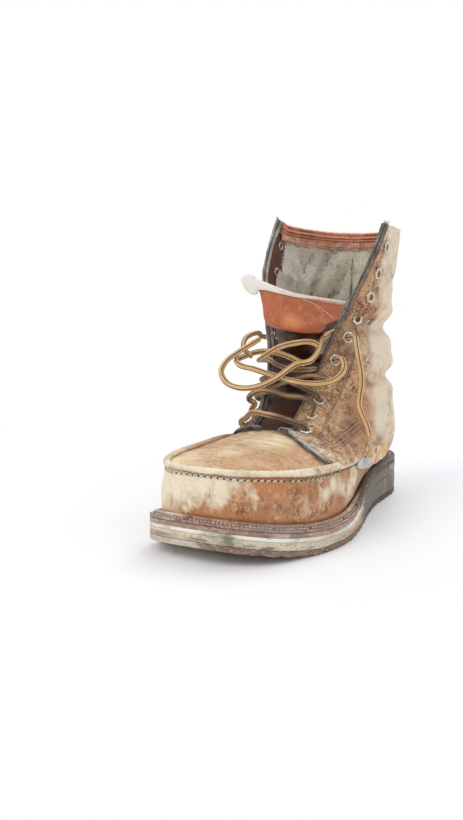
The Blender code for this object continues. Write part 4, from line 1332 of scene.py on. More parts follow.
def wear_and_shade_leather(piece, worn_edge=None, dark_edge=None, worn=0.0, dark=0.0, warm=0.0, mud=0.4):
    """Marks the upper's wear and painted light and shade on a piece of its leather: paler on its own edges,
    painted shade in its folds, darker where it meets the welt, and dirty along the foot, by up to mud."""
    points = points_of(piece)
    x, y, z = points.T
    side = np.where(x > outline("centre", y), LATERAL, MEDIAL)
    fold_depth = folds(points, side)[1]
    rise = z - ledge_top(y)
    scuffs = ramp(noise(points, 14, 40) + 0.6 * noise(points, 4, 42), 0.3, 1.0)
    # The lateral shaft is paler all over behind its eyelets: paled leather, with painted light for the light
    # washed over its back
    paled_and_lit = (side == LATERAL) * ramp(y - 20 * ramp(z, 140, 172), 16, 62) * ramp(z, 45, 75)
    worn = worn + spots(points, WORN_SPOTS) + 0.4 * scuffs + paled_and_lit * (0.7 + 0.25 * noise(points, 9, 43))
    # Painted shade in the folds; darker still where the leather meets the welt
    dark = dark + spots(points, DARK_SPOTS) + 0.6 * fold_depth + 0.7 * (1 - ramp(rise, 0.5, 3.5))
    warm = warm + spots(points, WARM_SPOTS) + 0.4 * ramp(noise(points, 30, 41), 0.1, 0.7)
    mud = mud * (1 - ramp(rise, 3, 16)) + spots(points, MUD_SPOTS)
    if worn_edge is not None:
        worn = worn + 0.7 * near(points, worn_edge, 2.0)
    # Darker along a given line: the painted shadow under a quarter's edge on the vamp, and along a quarter's
    # own throat edge
    if dark_edge is not None:
        dark = dark + 0.8 * near(points, dark_edge, 2.4)
    # The fold hollows keep less of the paler wear, as painted shade
    paint(piece, worn * (1 - 0.8 * fold_depth), dark, warm, mud)


def spaced(*parts):
    """Steps from a row of (start, end, count) parts, the last one's end included."""
    rows = [np.linspace(low, high, count, endpoint=False) for low, high, count in parts]
    return np.concatenate(rows + [[parts[-1][1]]])


def away_from_shaft(points):
    """Outwards from the boot's inside."""
    y, z = points.T[1:]
    inside = np.stack([outline("centre", y), np.where(z > 75, 85, y), 0 * y + 40], -1)
    return (points - inside) * np.array((1, 0.6, 0.5))


def towards_shaft(points):
    return -away_from_shaft(points)


def upwards(points):
    return np.array((0, 0, 1.0)) + 0 * points


# The moc seam: the pitch of its stitches, the station that it runs to on each side, and its roll's radius
MOC_PITCH, SEAM_END, ROLL_RADIUS = 4.8, 10.3, 3.0
# The signed stations that the roll and its stitches run through, below 0 on the medial side
MOC_STATIONS = np.linspace(-6.6, 5.15, 1400)


def run_of(t):
    """Millimetres along the moc seam at each signed station: the medial side's are below 0."""
    dense = np.linspace(-SEAM_END, SEAM_END, 1200)
    lateral, medial = [upper_point(np.abs(dense), 1.0, side) for side in (LATERAL, MEDIAL)]
    return np.interp(t, dense, run_along(np.where((dense >= 0)[:, None], lateral, medial)))


def side_of(t):
    return np.where(t >= 0, LATERAL, MEDIAL)


def make_wall():
    """The vamp's low wall round the toe, from its puckered seam down to the welt."""
    ts = spaced((-SEAM_END, -6, 62), (-6, -1, 110), (-1, 1, 30), (1, 6, 110), (6, SEAM_END, 62))

    def wall(t, q):
        points, normals = leather_at(np.abs(t), q, side_of(t))
        pucker = 0.35 * ramp(-q, -1.2, -1.02) * np.sin(2 * np.pi * run_of(t) / MOC_PITCH)
        return points + normals * (pucker + 0.18 * noise(points, 9, 50) + 0.1 * noise(points, 3, 51))[:, None]

    piece = grid("vamp_wall", ts, np.linspace(1.0, 2.0, 32), wall, away_from_shaft)
    points = points_of(piece)
    # Painted shade: darker along the foot of the moc roll, and under the lateral quarter's edge
    seam = leather_at(np.linspace(0, 7.2, 300), 1.03, LATERAL)[0]
    wear_and_shade_leather(
        piece,
        dark_edge=quarter_outline(LATERAL),
        dark=0.45 * near(points, seam, 1.8),
        warm=0.6 * (1 - ramp(points[:, 2] - ledge_top(points[:, 1]), 3, 13)),
        mud=0.1,
    )
    thicken(piece, 2.0)
    finish(piece, wall_leather, "upper", "upper")


def make_plug():
    """The plug on top of the vamp, softly crumpled towards the throat."""
    stations = spaced((0, 1, 18), (1, 6, 114), (6, 6.7, 14))
    halves = []
    for side, word in SIDES:
        def plug(s, q):
            points, normals = leather_at(s, q, side)
            wrinkle = 0.16 * np.sin(points[:, 1] / 1.9 + 2.5 * noise(points, 16, 52)) * ramp(s, 3.4, 5.6)
            soft = 0.35 * noise(points, 26, 53) + 0.12 * noise(points, 6, 54)
            return points + normals * (wrinkle + soft * ramp(s, 0, 1))[:, None]
        halves.append(grid("plug_half_" + word, stations, np.linspace(0, 1, 44), plug, upwards))
    piece = join(halves, "vamp_plug")
    edit(piece, weld)
    points = points_of(piece)
    y = points[:, 1]
    edges = np.concatenate([quarter_outline(side)[:80] for side, _ in SIDES])
    ridge = np.concatenate([leather_at(np.linspace(0, 5.2, 300), 0.93, side)[0] for side, _ in SIDES])
    cracks = ramp(noise(points * (0.22, 1.0, 1.0), 3.4, 55), 0.3, 0.65) * ramp(y, -125, -80)
    # Painted shade: darker towards the throat under the laces, beside the moc roll and under the quarters'
    # edges; the cracks are the leather's own
    wear_and_shade_leather(
        piece,
        dark_edge=edges,
        dark=0.4 * ramp(y, -62, -44) + 0.5 * near(points, ridge, 1.8) + 1.2 * near(points, edges, 4.5)
        + 0.5 * cracks,
    )
    thicken(piece, 1.8)
    finish(piece, plug_leather, "upper")


def make_roll():
    """The roll of leather that stands up along the moc seam, pinched by its stitches."""
    line, normals = leather_at(np.abs(MOC_STATIONS), 0.975, side_of(MOC_STATIONS), 0.7)
    line = line + normals * (0.25 * np.sin(run_of(MOC_STATIONS) / 23))[:, None]
    across = np.cross(unit(np.gradient(line, axis=0)), normals)

    def roll(at, turn):
        pinch = 0.5 + 0.5 * np.cos(2 * np.pi * at / MOC_PITCH)
        worn = 0.12 * np.sin(at / 31) + 0.08 * np.sin(at / 12 + 1)
        return ROLL_RADIUS * (1 - 0.08 * pinch + worn), ROLL_RADIUS * (1 - 0.14 * pinch + worn)

    piece = tube("moc_ridge", line[::3], roll, sides=14, across=across[::3])
    points = points_of(piece)
    place = nearest(points, line)[1]
    # Painted light and shade: the roll's underside is painted darker as shade, and its paler rubbed marks are
    # kept to its top as a highlight
    under = 1 - ramp(((points - line[place]) * normals[place]).sum(-1), -1.5, 1.0)
    far = ramp(-points[:, 0], 22, 34) * ramp(points[:, 1], -118, -80)
    rubbed = 0.35 + 0.45 * ramp(noise(points, 14, 60), -0.3, 0.5)
    dirt, soiled = ramp(noise(points, 7, 61), 0.2, 0.7), far * ramp(noise(points, 6, 63), -0.3, 0.4)
    paint(
        piece,
        worn=rubbed * (1 - 0.7 * far) * (1 - under),
        dark=0.75 * under + 0.3 * dirt + 0.5 * soiled,
        warm=0.6 * ramp(noise(points, 30, 62), 0.0, 0.5) * ramp(points[:, 0], -30, 20) + 0.7 * far,
    )
    finish(piece, roll_leather, "upper")


def sew_moc_seam():
    line, normals = leather_at(np.linspace(1.5, 6.2, 500), 0.905, MEDIAL, 0.2)
    sew("moc_inner_stitches", line, normals, dark_thread, "upper", pitch=3.6, length=2.4, thickness=0.9,
        holes=False)
    line, normals = leather_at(np.abs(MOC_STATIONS), 1.09, side_of(MOC_STATIONS), 0.25)
    dark = 0.5 * ramp(line[:, 0], 15, 50) * ramp(-line[:, 1], 40, 120)
    sew("moc_stitches", line, normals, cream_thread, "upper", pitch=MOC_PITCH, length=3.6, thickness=1.5,
        lift=0.3, slant=0.35, dark=dark, skip=0.08)


# The lateral quarter's front edge sweeps forward as it goes down over the end of the moc ridge
FRONT_Q = (0, 0.14, 0.30, 0.46, 0.58, 0.70, 0.81, 0.90, 1.03)
FRONT_S = (6.5, 6.27, 5.8, 5.43, 5.2, 5.02, 4.92, 4.92, 5.0)
REAR_S, BELT_Q = 8.9, 1.03
FRONT_REACH = 2.4


def quarter_station(s, q, side):
    """The upper's station for a station of a quarter, whose front edge is moved to where it is cut."""
    if side == MEDIAL:
        return s
    front = np.interp(q, FRONT_Q, FRONT_S)
    return s + (front - QUARTER_FRONT) * (1 - ramp(s, QUARTER_FRONT, QUARTER_FRONT + FRONT_REACH))


def quarter_outline(side):
    """The quarter's visible front and lower edges, as a dense line on its face."""
    lines = []
    for s0, s1, q0, q1, count in (
        (QUARTER_FRONT, QUARTER_FRONT, 0, BELT_Q, 70),
        (QUARTER_FRONT, REAR_S, BELT_Q, BELT_Q, 110),
        (REAR_S, REAR_S, BELT_Q, 1.9, 60),
    ):
        s, q = np.linspace(s0, s1, count), np.linspace(q0, q1, count)
        lines.append(leather_at(quarter_station(s, q, side), q, side, OVERLAY)[0])
    return np.concatenate(lines)


def throat_edge(side):
    return leather_at(np.linspace(QUARTER_FRONT, COLLAR, 700), 0, side, OVERLAY)[0]


# The rows of stitches on the lateral quarter: each runs down across its front, as stations and q
QUARTER_ROWS = (
    ((9.28, 0.56), (8.55, 0.53), (7.8, 0.49), (6.98, 0.49), (5.75, 0.6)),
    ((9.22, 0.6), (8.47, 0.57), (7.73, 0.54), (6.83, 0.55), (5.7, 0.65)),
    ((9.18, 0.65), (8.58, 0.62), (7.93, 0.6), (7.3, 0.6), (6.35, 0.65)),
    ((9.12, 0.7), (8.53, 0.67), (7.93, 0.65), (7.4, 0.64), (6.85, 0.67)),
)
# The row behind the eyelets: stations, and the q at each
EYESTAY_ROW = ((6.75, 7.4, 8.5, 11.5, 13, 15, 17, 19.8), (0.4, 0.33, 0.29, 0.29, 0.26, 0.27, 0.38, 0.46))


def quarter_row(number):
    s, q = evenly(QUARTER_ROWS[number], 0.01).T
    return leather_at(s, q, LATERAL, OVERLAY + 0.2)


def eyestay_row(side):
    s = np.linspace(EYESTAY_ROW[0][0], EYESTAY_ROW[0][-1], 900)
    return leather_at(s, np.interp(s, *EYESTAY_ROW), side, OVERLAY + 0.15)


def raw_edge(name, line, normals, half_width, half_height, worn, dark):
    """The rounded cut edge of leather in two layers, with a groove where they meet."""
    along = unit(np.gradient(line, axis=0))

    def layered(at, turn):
        groove = 0.45 * np.exp(-(((turn % 0.5 - 0.25) / 0.035) ** 2))
        return (
            half_width * (1 + 0.05 * np.sin(at / 5.1)),
            half_height * (1 - groove + 0.1 * np.sin(at / 3.7 + 1)),
        )

    across = unit(normals - along * (normals * along).sum(-1)[:, None])
    piece = tube(name, line, layered, sides=20, across=across)
    points = points_of(piece)
    place = nearest(points, line)[1]
    # Painted shade: the groove between the two layers is painted dark
    seam = 1 - ramp(np.abs(((points - line[place]) * normals[place]).sum(-1)), 0.15, 0.5 * half_width)
    paint(
        piece,
        worn=worn * (0.5 + 0.5 * noise(points, 12, 170)),
        dark=dark * ramp(noise(points, 9, 171), -0.2, 0.6) + 0.9 * seam,
        warm=0.5 * ramp(noise(points, 14, 172), 0.3, 0.7),
    )
    return finish(piece, edge_leather, "upper")


# Scuffs at the lateral quarter's front corner: x, y, z, radius, strength
SCUFFS = ((38, -52, 65, 13, 1.0), (46, -46, 60, 10, 0.9), (26, -50, 72, 7, 0.5))


def make_panel(side, word, rows):
    """A shaft panel with its eyestay, over the vamp; creased, scuffed and marked by its rows of stitches."""
    front = spaced((QUARTER_FRONT, 6.3, 4), (6.3, REAR_S, 60))[:-1]
    rear = spaced((REAR_S, 12, 60), (12, 14, 36), (14, 18, 94), (18, COLLAR, 46))
    high, low = spaced((0, 0.06, 4), (0.06, BELT_Q, 50)), spaced((BELT_Q, 1.9, 42), (1.9, 1.985, 4))

    def panel(s, q):
        points, normals = leather_at(quarter_station(s, q, side), q, side)
        tucked = 1 - 0.85 * ramp(q, 1.7, 1.92) * (1 - ramp(s, 13.4, 14))
        fine = 0.3 * noise(points, 12, 70) + 0.16 * noise(points, 4.5, 71) + 0.09 * noise(points, 2.2, 72)
        curl = 0.9 * np.exp(-(((s - 6.2) / 0.14) ** 2)) * (0.5 + 0.5 * np.sin(q * 9))
        wave = 0.5 * np.sin(s * 5.1 + 1) * np.exp(-((q / 0.05) ** 2)) * ramp(s, 11, 13)
        ragged = 0.5 * noise(points, 5, 74) * np.exp(-((q / 0.015) ** 2))
        return points + normals * (OVERLAY * tucked + fine + curl + wave + ragged)[:, None]

    piece = join([
        grid("quarter_upper", np.concatenate([front, rear]), high, panel, away_from_shaft),
        grid("quarter_lower", rear, low, panel, away_from_shaft),
    ], "quarter_" + word)
    edit(piece, weld)
    points = points_of(piece)
    y, z = points.T[1:]
    scuffed = spots(points, SCUFFS)
    crackle = np.abs(noise(points, 3.0, 75)) < 0.16
    pocks = (noise(points, 1.5, 77) > 0.5) * ramp(-z, -110, -60) * (y < 40)
    # Painted shade, with grime: darker round the rows of stitches
    wear_and_shade_leather(
        piece,
        worn_edge=quarter_outline(side)[::2],
        dark_edge=throat_edge(side)[::3],
        worn=scuffed * (0.35 + 0.65 * crackle) + 0.5 * (1 - ramp(np.abs(z - 241), 4, 14)),
        dark=0.45 * ramp(noise(points, 20, 73) + 0.5 * noise(points, 5, 78), 0.2, 0.9)
        + 0.45 * scuffed * (noise(points, 1.8, 76) > 0.3)
        + (0.5 * near(points, rows, 1.7) + 0.6 * near(points, eyestay_row(side)[0][::3], 1.2))
        + 0.35 * pocks,
    )
    thicken(piece, 1.9)
    finish(piece, quarter_leather, "upper")


def make_quarters():
    """The two shaft panels, their rows of stitches and their cut edges."""
    rows = np.concatenate([quarter_row(number)[0] for number in range(len(QUARTER_ROWS))])
    stations = np.linspace(6.35, COLLAR - 0.03, 270)
    # How worn and how dark the cut edges are, along the throat and down the front
    edge_wear = {LATERAL: ((0.25, 0.7), (0.9, 0.6)), MEDIAL: ((0.5, 0.4), (0.2, 0.9))}
    for side, word in SIDES:
        make_panel(side, word, rows)
        sew("eyestay_row_" + word, *eyestay_row(side), rust_thread, "upper", pitch=2.7, length=1.9,
            thickness=0.85)
        raw_edge("throat_edge_" + word, *leather_at(stations, 0, side, -1.25), 2.9, 1.0, *edge_wear[side][0])
        edge = evenly(quarter_outline(side)[:70:3], 0.8)
        q = np.linspace(0, BELT_Q, len(edge))
        normals = leather_at(quarter_station(QUARTER_FRONT, q, side), q, side, OVERLAY)[1]
        raw_edge("front_edge_" + word, edge - normals * 0.4, normals, 2.0, 1.9, *edge_wear[side][1])
    for number in range(len(QUARTER_ROWS)):
        sew(f"quarter_row_{number + 1}", *quarter_row(number), rust_thread, "upper", pitch=2.5, length=2.4,
            thickness=0.95, skip=0.03, lift=0.25, holes=False)


def ragged_patch(name, across, around, centre, along, over, rise_at, ragged, below=1.0, seed=0):
    """A scrap on the lateral quarter: a disc of leather with a ragged outline, lifted by rise_at(r, angle).

    centre is a station and q; along and over are how far its two half widths reach, as stations and q.
    below is how much of its lower half is left."""
    def place(r, angle):
        waves = 1.4 * np.sin(3 * angle + seed) + np.sin(5 * angle + 2 * seed) + 0.5 * np.sin(11 * angle)
        reach = r * (1 + ragged * waves)
        a, b = reach * np.cos(angle), reach * np.sin(angle)
        b = np.where(b > 0, below * b, b)
        s = centre[0] + a * along[0] + b * over[0]
        q = np.minimum(centre[1] + a * along[1] + b * over[1], 2.0)
        points, normals = leather_at(s, q, LATERAL)
        return points + normals * (rise_at(r, angle) + 0.25 * noise(points, 4, seed))[:, None]

    turns = np.linspace(0, 2 * math.pi, around)
    piece = grid(name, np.linspace(0, 1, across), turns, place, away_from_shaft)
    thicken(piece, 1.2, 0.3)
    return piece


def make_damage():
    """The torn place at the foot of the lateral quarter, and the flap that has curled away from its edge."""
    torn = ragged_patch(
        "torn_patch", 30, 100, (9.7, 1.4), (1.35, 0.36), (0.0, 0.3),
        lambda r, angle: OVERLAY + 0.4 + 1.2 * r**3 * (0.5 + 0.5 * np.sin(2 * angle)), 0.08, seed=3,
    )
    points = points_of(torn)
    streak = leather_at(np.linspace(9.35, 9.62, 30), np.linspace(1.1, 1.7, 30), LATERAL, OVERLAY + 1)[0]
    hole = leather_at(np.linspace(9.3, 9.4, 10), np.linspace(1.1, 1.22, 10), LATERAL, OVERLAY + 1)[0]
    paint(
        torn,
        worn=0.7 * ramp(noise(points, 9, 150), -0.3, 0.5),
        warm=1.2 * near(points, streak, 2.8),
        dark=near(points, hole, 2.4) + 0.4 * near(points, streak, 1.2),
    )
    finish(torn, torn_leather, "upper")
    flap = ragged_patch(
        "curled_flap", 24, 90, (8.05, 1.26), (0.88, 0.14), (-0.06, 0.22),
        lambda r, angle: OVERLAY + 1.2 + 1.8 * r**2 * (0.5 + 0.5 * np.sin(angle)), 0.012, below=0.12, seed=5,
    )
    points = points_of(flap)
    paint(flap, worn=0.8 + 0.2 * noise(points, 4, 151), dark=0.25 * ramp(noise(points, 5, 152), 0, 0.6))
    finish(flap, edge_leather, "upper")


def make_back():
    """The backstay up the heel seam, with a row of stitches inside each edge."""
    def half_width(s):
        return 0.15 - 0.033 * ramp(s, 14, 20)

    def stay(s, r):
        points, normals = leather_at(s, 2 - np.abs(r) * half_width(s), side_of(r))
        normals = unit(normals + (1 - np.abs(r))[:, None] ** 2 * np.array((0, 1.0, 0)))
        return points + normals * (OVERLAY + 1.3 + 0.15 * noise(points, 8, 80))[:, None]

    piece = grid("backstay", np.linspace(14, COLLAR, 150), np.linspace(-1, 1, 17), stay,
                 lambda points: points - (0, 60, 120))
    wear_and_shade_leather(piece, dark=0.1)
    thicken(piece, 1.5)
    finish(piece, wall_leather, "upper")
    s = np.linspace(14.1, 19.8, 700)
    for side, word in SIDES:
        line, normals = leather_at(s, 2 - 0.8 * half_width(s), side, OVERLAY + 1.4)
        sew("backstay_stitches_" + word, line, normals, rust_thread, "upper", pitch=3.6, length=2.6,
            thickness=0.8, holes=False)


def collar_line(drop, depth, reach, count):
    """A line round the collar's inside, a drop under its top and a depth in from the leather's face.

    It runs from the medial throat round the back to the lateral one; its ends lie a reach from the heel."""
    r = np.linspace(-reach, reach, count)
    side, q = side_of(r), 2 - np.abs(r)
    height = np.linalg.norm(leather_at(COLLAR, q, side)[0] - leather_at(COLLAR - 1, q, side)[0], axis=-1)
    return leather_at(COLLAR - drop / height, q, side, -depth)


COLLAR_REACH = 1.62
BAND_DROPS, BAND_COUNT = np.linspace(0.5, 15.0, 30), 310
# The three beads: drop, depth, radius, how much its top is painted lighter as a highlight, and name
BEADS = (
    (0.4, WALL + 0.9, 2.0, 0.9, "top"),
    (4.0, WALL + 2.2, 1.5, 0.3, "middle"),
    (6.6, WALL + 2.2, 0.9, 0.6, "low"),
)


def make_band():
    """The calfskin band inside the collar, gathered, and frayed at its foot."""
    lines = [collar_line(drop, WALL + 1.6, COLLAR_REACH, BAND_COUNT) for drop in BAND_DROPS]
    points = np.array([line[0] for line in lines])
    inwards = -np.array([line[1] for line in lines])

    def band(i, j):
        here, drop = points[j, i], BAND_DROPS[j]
        frayed = 0.9 * noise(here * (1, 1, 0.2), 5, 95) + 0.6 * noise(here * (1, 1, 0.2), 2.2, 96)
        low = ramp(drop, 11, 15)
        gathers = np.abs(noise(here * (1, 1, 0.35), 4.5, 90)) * ramp(drop, 6.5, 9)
        crumpled = 2.2 * np.abs(noise(here, 5, 97)) * ramp(-i / BAND_COUNT, -0.16, -0.04)
        loose = 1.3 * low * (0.5 + 0.5 * noise(here, 9, 98))
        moved = here + inwards[j, i] * (1.5 * gathers + crumpled + loose)[:, None]
        return moved + (1.6 * frayed * low)[:, None] * np.array((0, 0, 1.0))

    piece = grid("collar_band", np.arange(BAND_COUNT), np.arange(len(BAND_DROPS)), band, towards_shaft)
    at = points_of(piece)
    gathered = ramp(noise(at * (1, 1, 0.5), 4.5, 92), 0.1, 0.6) * near(at, points[19][::2], 3.0)
    # Painted shade: a dark line just under the lowest bead
    paint(
        piece,
        worn=0.9 * near(at, points[-1][::2], 1.4) + 0.8 * gathered,
        dark=0.5 * ramp(noise(at, 8, 91), 0, 0.6) + 0.7 * near(at, points[13][::2], 0.9),
        warm=0.6 * ramp(noise(at, 15, 94), 0, 0.6),
    )
    thicken(piece, 1.0, 0.3)
    finish(piece, band_leather, "upper")


def make_beads():
    """The piped beads round the collar, over the top of its band, and the band's row of stitches."""
    for drop, depth, radius, worn, word in BEADS:
        def corded(at, turn):
            return radius * (1 + 0.13 * np.sin(2 * np.pi * (at / 2.6 + turn)) + 0.06 * np.sin(at / 7))
        line = collar_line(drop, depth, COLLAR_REACH, 420)[0]
        bead = tube("collar_bead_" + word, line, corded, sides=12)
        at = points_of(bead)
        # Painted light and shade: each bead's top is painted lighter as a highlight, and its underside darker
        # as shade
        lit_upper_half = ramp(at[:, 2] - line[nearest(at, line)[1]][:, 2], 0.0, 0.8 * radius)
        paint(
            bead,
            worn=worn * lit_upper_half + 0.3 * ramp(noise(at, 7, 92), 0.1, 0.5),
            dark=0.6 * (1 - lit_upper_half) * ramp(noise(at, 11, 93), -0.3, 0.4),
            warm=0.5,
        )
        finish(bead, band_leather, "upper")
    line, normals = collar_line(12.4, WALL + 3.4, COLLAR_REACH - 0.04, 700)
    sew("collar_stitches", line, -normals, cream_thread, "upper", pitch=3.2, length=2.6, thickness=1.1,
        slant=0.4)


# Deep folds in the lining's medial half: height, half width, and the fold's line as stations and q
LINING_FOLDS = (
    (4.8, 6.5, ((19.5, 1.72), (19.1, 1.62), (18.6, 1.52), (18.1, 1.44))),
    (4.6, 5.5, ((19.25, 1.44), (18.78, 1.33), (18.3, 1.26), (17.8, 1.2))),
    (2.6, 5.5, ((18.7, 1.9), (18.4, 1.78), (18.2, 1.64), (17.8, 1.5))),
    (2.4, 5.0, ((19.1, 1.08), (18.65, 1.2), (18.2, 1.28))),
)


def lining_fold(points):
    """How far the lining stands off the wall in its deep folds."""
    total = np.zeros(points.shape[:-1])
    for height, width, route in LINING_FOLDS:
        s, q = evenly(route, 0.03).T
        path = evenly(upper_point(s, q, MEDIAL), 1.5)
        here = in_reach(points, path, 3 * width)
        if here.any():
            apart, place = nearest(points[here], path)
            taper = np.sin(np.pi * (0.1 + 0.8 * place / (len(path) - 1)))
            valley = np.exp(-(((apart - 1.7 * width) / (0.7 * width)) ** 2))
            total[here] += height * taper * (np.exp(-((apart / width) ** 2)) - 0.35 * valley)
    return total


def make_lining():
    """The felt lining, with its folds, inside the shaft and down into the heel, and its seam."""
    stations = spaced((7, 14, 30), (14, COLLAR - 0.1, 112))
    halves = []
    for side, word in SIDES:
        def felt(s, q):
            points, normals = leather_at(s, q, side, -(WALL + 1.0))
            leant = points @ np.array(((1, 0, 0), (0, 1, 0), (0.35, 0, 0.4)))
            fold = 1.1 * np.abs(noise(leant, 19, 100)) + 0.7 * noise(points, 10, 101)
            if side == MEDIAL:
                fold = fold + lining_fold(points)
            fuzz = 0.22 * noise(points, 1.9, 102)
            held = ramp(COLLAR - s, 0.3, 0.8) * ramp(q, 0.3, 0.6)
            joined = 1 - ramp(q, 1.93, 2.0) * ramp(s, 13.6, 14)
            return points - normals * ((np.maximum(fold, -0.8) * held + fuzz) * joined)[:, None]
        halves.append(grid("lining_half_" + word, stations, np.linspace(0.3, 2, 82), felt, towards_shaft))
    piece = join(halves, "felt_lining")
    edit(piece, weld)
    points = points_of(piece)
    fold = lining_fold(points)
    seam, normals = leather_at(np.linspace(14, 19.4, 400), 1.84, MEDIAL, -(WALL + 2.4))
    dirt, specks = ramp(noise(points, 14, 104), 0.1, 0.8), ramp(noise(points, 1.7, 106), 0.3, 0.6)
    # Painted light and shade: the folds' crests are painted lighter as highlights and their hollows darker as
    # shade; the seam, dirt and specks are the felt's own
    paint(
        piece,
        worn=0.5 * ramp(fold, 1, 5),
        dark=0.8 * near(points, seam[::2], 1.3) + 0.4 * ramp(-fold, 0.1, 1.4) + 0.3 * dirt + 0.35 * specks,
        warm=0.5 * ramp(noise(points, 22, 105), 0.1, 0.6),
    )
    thicken(piece, 0.8, 0.2)
    finish(piece, lining_felt, "upper")
    sew("lining_seam", seam, -normals, dark_thread, "upper", pitch=2.6, length=2.2, thickness=0.8,
        holes=False, lift=1.0)


# Under the eyestay: where its second layer starts, and how wide it is
FACING_START, FACING_WIDTH = 6.5, 24.0


def make_facings():
    """Under each eyestay's edge, the second layer of leather that its eyelets are clenched through."""
    stations = np.linspace(FACING_START, COLLAR - 0.05, 60)
    for side, word in SIDES:
        reach = np.array([setback(at, side, FACING_WIDTH) for at in stations])

        def strip(s, b):
            points, normals = leather_at(s, b * np.interp(s, stations, reach), side, -0.7)
            return points - normals * (0.15 * noise(points, 7, 110))[:, None]
        steps = np.linspace(FACING_START, COLLAR - 0.05, 190)
        piece = grid("facing_" + word, steps, np.linspace(0.015, 1, 15), strip, away_from_shaft)
        points = points_of(piece)
        paint(
            piece,
            worn=0.35 * ramp(noise(points, 12, 112), 0.2, 0.7),
            dark=0.3 + 0.3 * noise(points, 14, 111),
            warm=0.5 * ramp(noise(points, 20, 113), 0.0, 0.6),
        )
        thicken(piece, 3.2, 0.6)
        finish(piece, facing_leather, "upper")
        s = np.linspace(12, 19.8, 500)
        line, normals = leather_at(s, 0.88 * np.interp(s, stations, reach), side, -4.0)
        sew("facing_stitches_" + word, line, -normals, cream_thread, "upper", pitch=3.2, length=2.2,
            thickness=0.8, holes=False)
        line, normals = leather_at(np.linspace(6.6, 19.8, 900), 0.05, side, OVERLAY + 0.15)
        sew("eyestay_stitches_" + word, line, normals, rust_thread, "upper", pitch=3.0, length=2.1,
            thickness=0.75, skip=0.1)


def make_frays():
    """Loose fibres at the two top corners of the throat, where the leather has frayed."""
    for side, word in SIDES:
        fibres = []
        for number in range(16):
            turn = number * 2.4
            q = 0.02 + 0.16 * ((number * 0.618) % 1)
            root = leather_at(COLLAR - 0.03, q, side, OVERLAY * math.cos(turn))[0]
            lean = np.array((math.cos(turn), math.sin(turn), 0)) * (1.2 + 0.6 * math.sin(number))
            rise = 2.2 + 1.6 * abs(math.sin(1.7 * number))
            line = evenly([root, root + lean * 0.3 + (0, 0, 0.6 * rise), root + lean + (0, 0, rise)], 0.5)
            fibres.append(tube("fibre", line, lambda at, turn: 0.22 - 0.02 * at, sides=6))
        piece = join(fibres, "frayed_corner_" + word)
        paint(piece, worn=0.7)
        finish(piece, edge_leather, "upper")


# Tongue

TONGUE, TONGUE_CLEARANCE = 2.6, 1.2
# Down in the throat: a station, how far the tongue's edges are tucked back there, and its middle's crown
TONGUE_ROOT = (
    (5.3, 0.34, 0),
    (6.0, 0.32, 0),
    (7.0, 0.20, 0.5),
    (8.0, 0.19, 2),
    (9.0, 0.16, 3),
    (10.0, 0.11, 3),
    (10.8, 0.03, 3),
)
# The free end, slumped forward: x, y, z at five places across it, from the medial edge to the lateral one
TONGUE_END = (
    ((-30, 10, 142), (-24, 3, 143), (-12, -2, 142), (-3, 2, 141), (4, 10, 140)),
    ((-36, 5, 160), (-29, -6, 159), (-8, -13, 152.5), (6, -6, 152), (16, 8, 157)),
    ((-43, 1, 179), (-34, -11, 176), (-8, -15, 168), (10, -5, 165), (22, 12, 169)),
    ((-50, -9, 199.5), (-37, -14, 194.5), (-8, -13, 184.5), (10, -2, 180.5), (23.5, 18, 177)),
)


def tongue_cage():
    """Rows of five points through the middle of the tongue's thickness, from its root to its free end."""
    depth = WALL + TONGUE_CLEARANCE + TONGUE / 2
    cage = []
    for s, tuck, crown in TONGUE_ROOT:
        def inside(q):
            return [upper_point(s, q, side) - upper_normal(s, q, side) * depth for side in (MEDIAL, LATERAL)]
        medial, lateral = inside(tuck)
        inner_medial, inner_lateral = inside(tuck / 2 if s <= THROAT else 0.0)
        outward = sum(upper_normal(s, 0.0, side) for side in (MEDIAL, LATERAL))
        centre = sum(inside(0.0)) / 2 + crown * outward / np.linalg.norm(outward)
        cage.append((medial, inner_medial, centre, inner_lateral, lateral))
    return np.array(cage + list(TONGUE_END), float)


def smooth_grid(cage, rows, columns):
    """Points on the smooth surface through a cage, at fractional row and column numbers."""
    def along_first(points, at):
        knots = np.arange(len(points), dtype=float)
        flat = points.reshape(len(points), -1)
        lines = np.stack([smooth(knots, line, at) for line in flat.T], -1)
        return lines.reshape((len(at),) + points.shape[1:])
    by_row = along_first(cage, np.asarray(rows, float))
    return along_first(by_row.swapaxes(0, 1), np.asarray(columns, float)).swapaxes(0, 1)


# Steps along the tongue and across it, and the last of its cage's rows and columns
TONGUE_ROWS, TONGUE_COLUMNS = 150, 90
LAST_ROW, LAST_COLUMN = len(TONGUE_ROOT) + len(TONGUE_END) - 1, 4


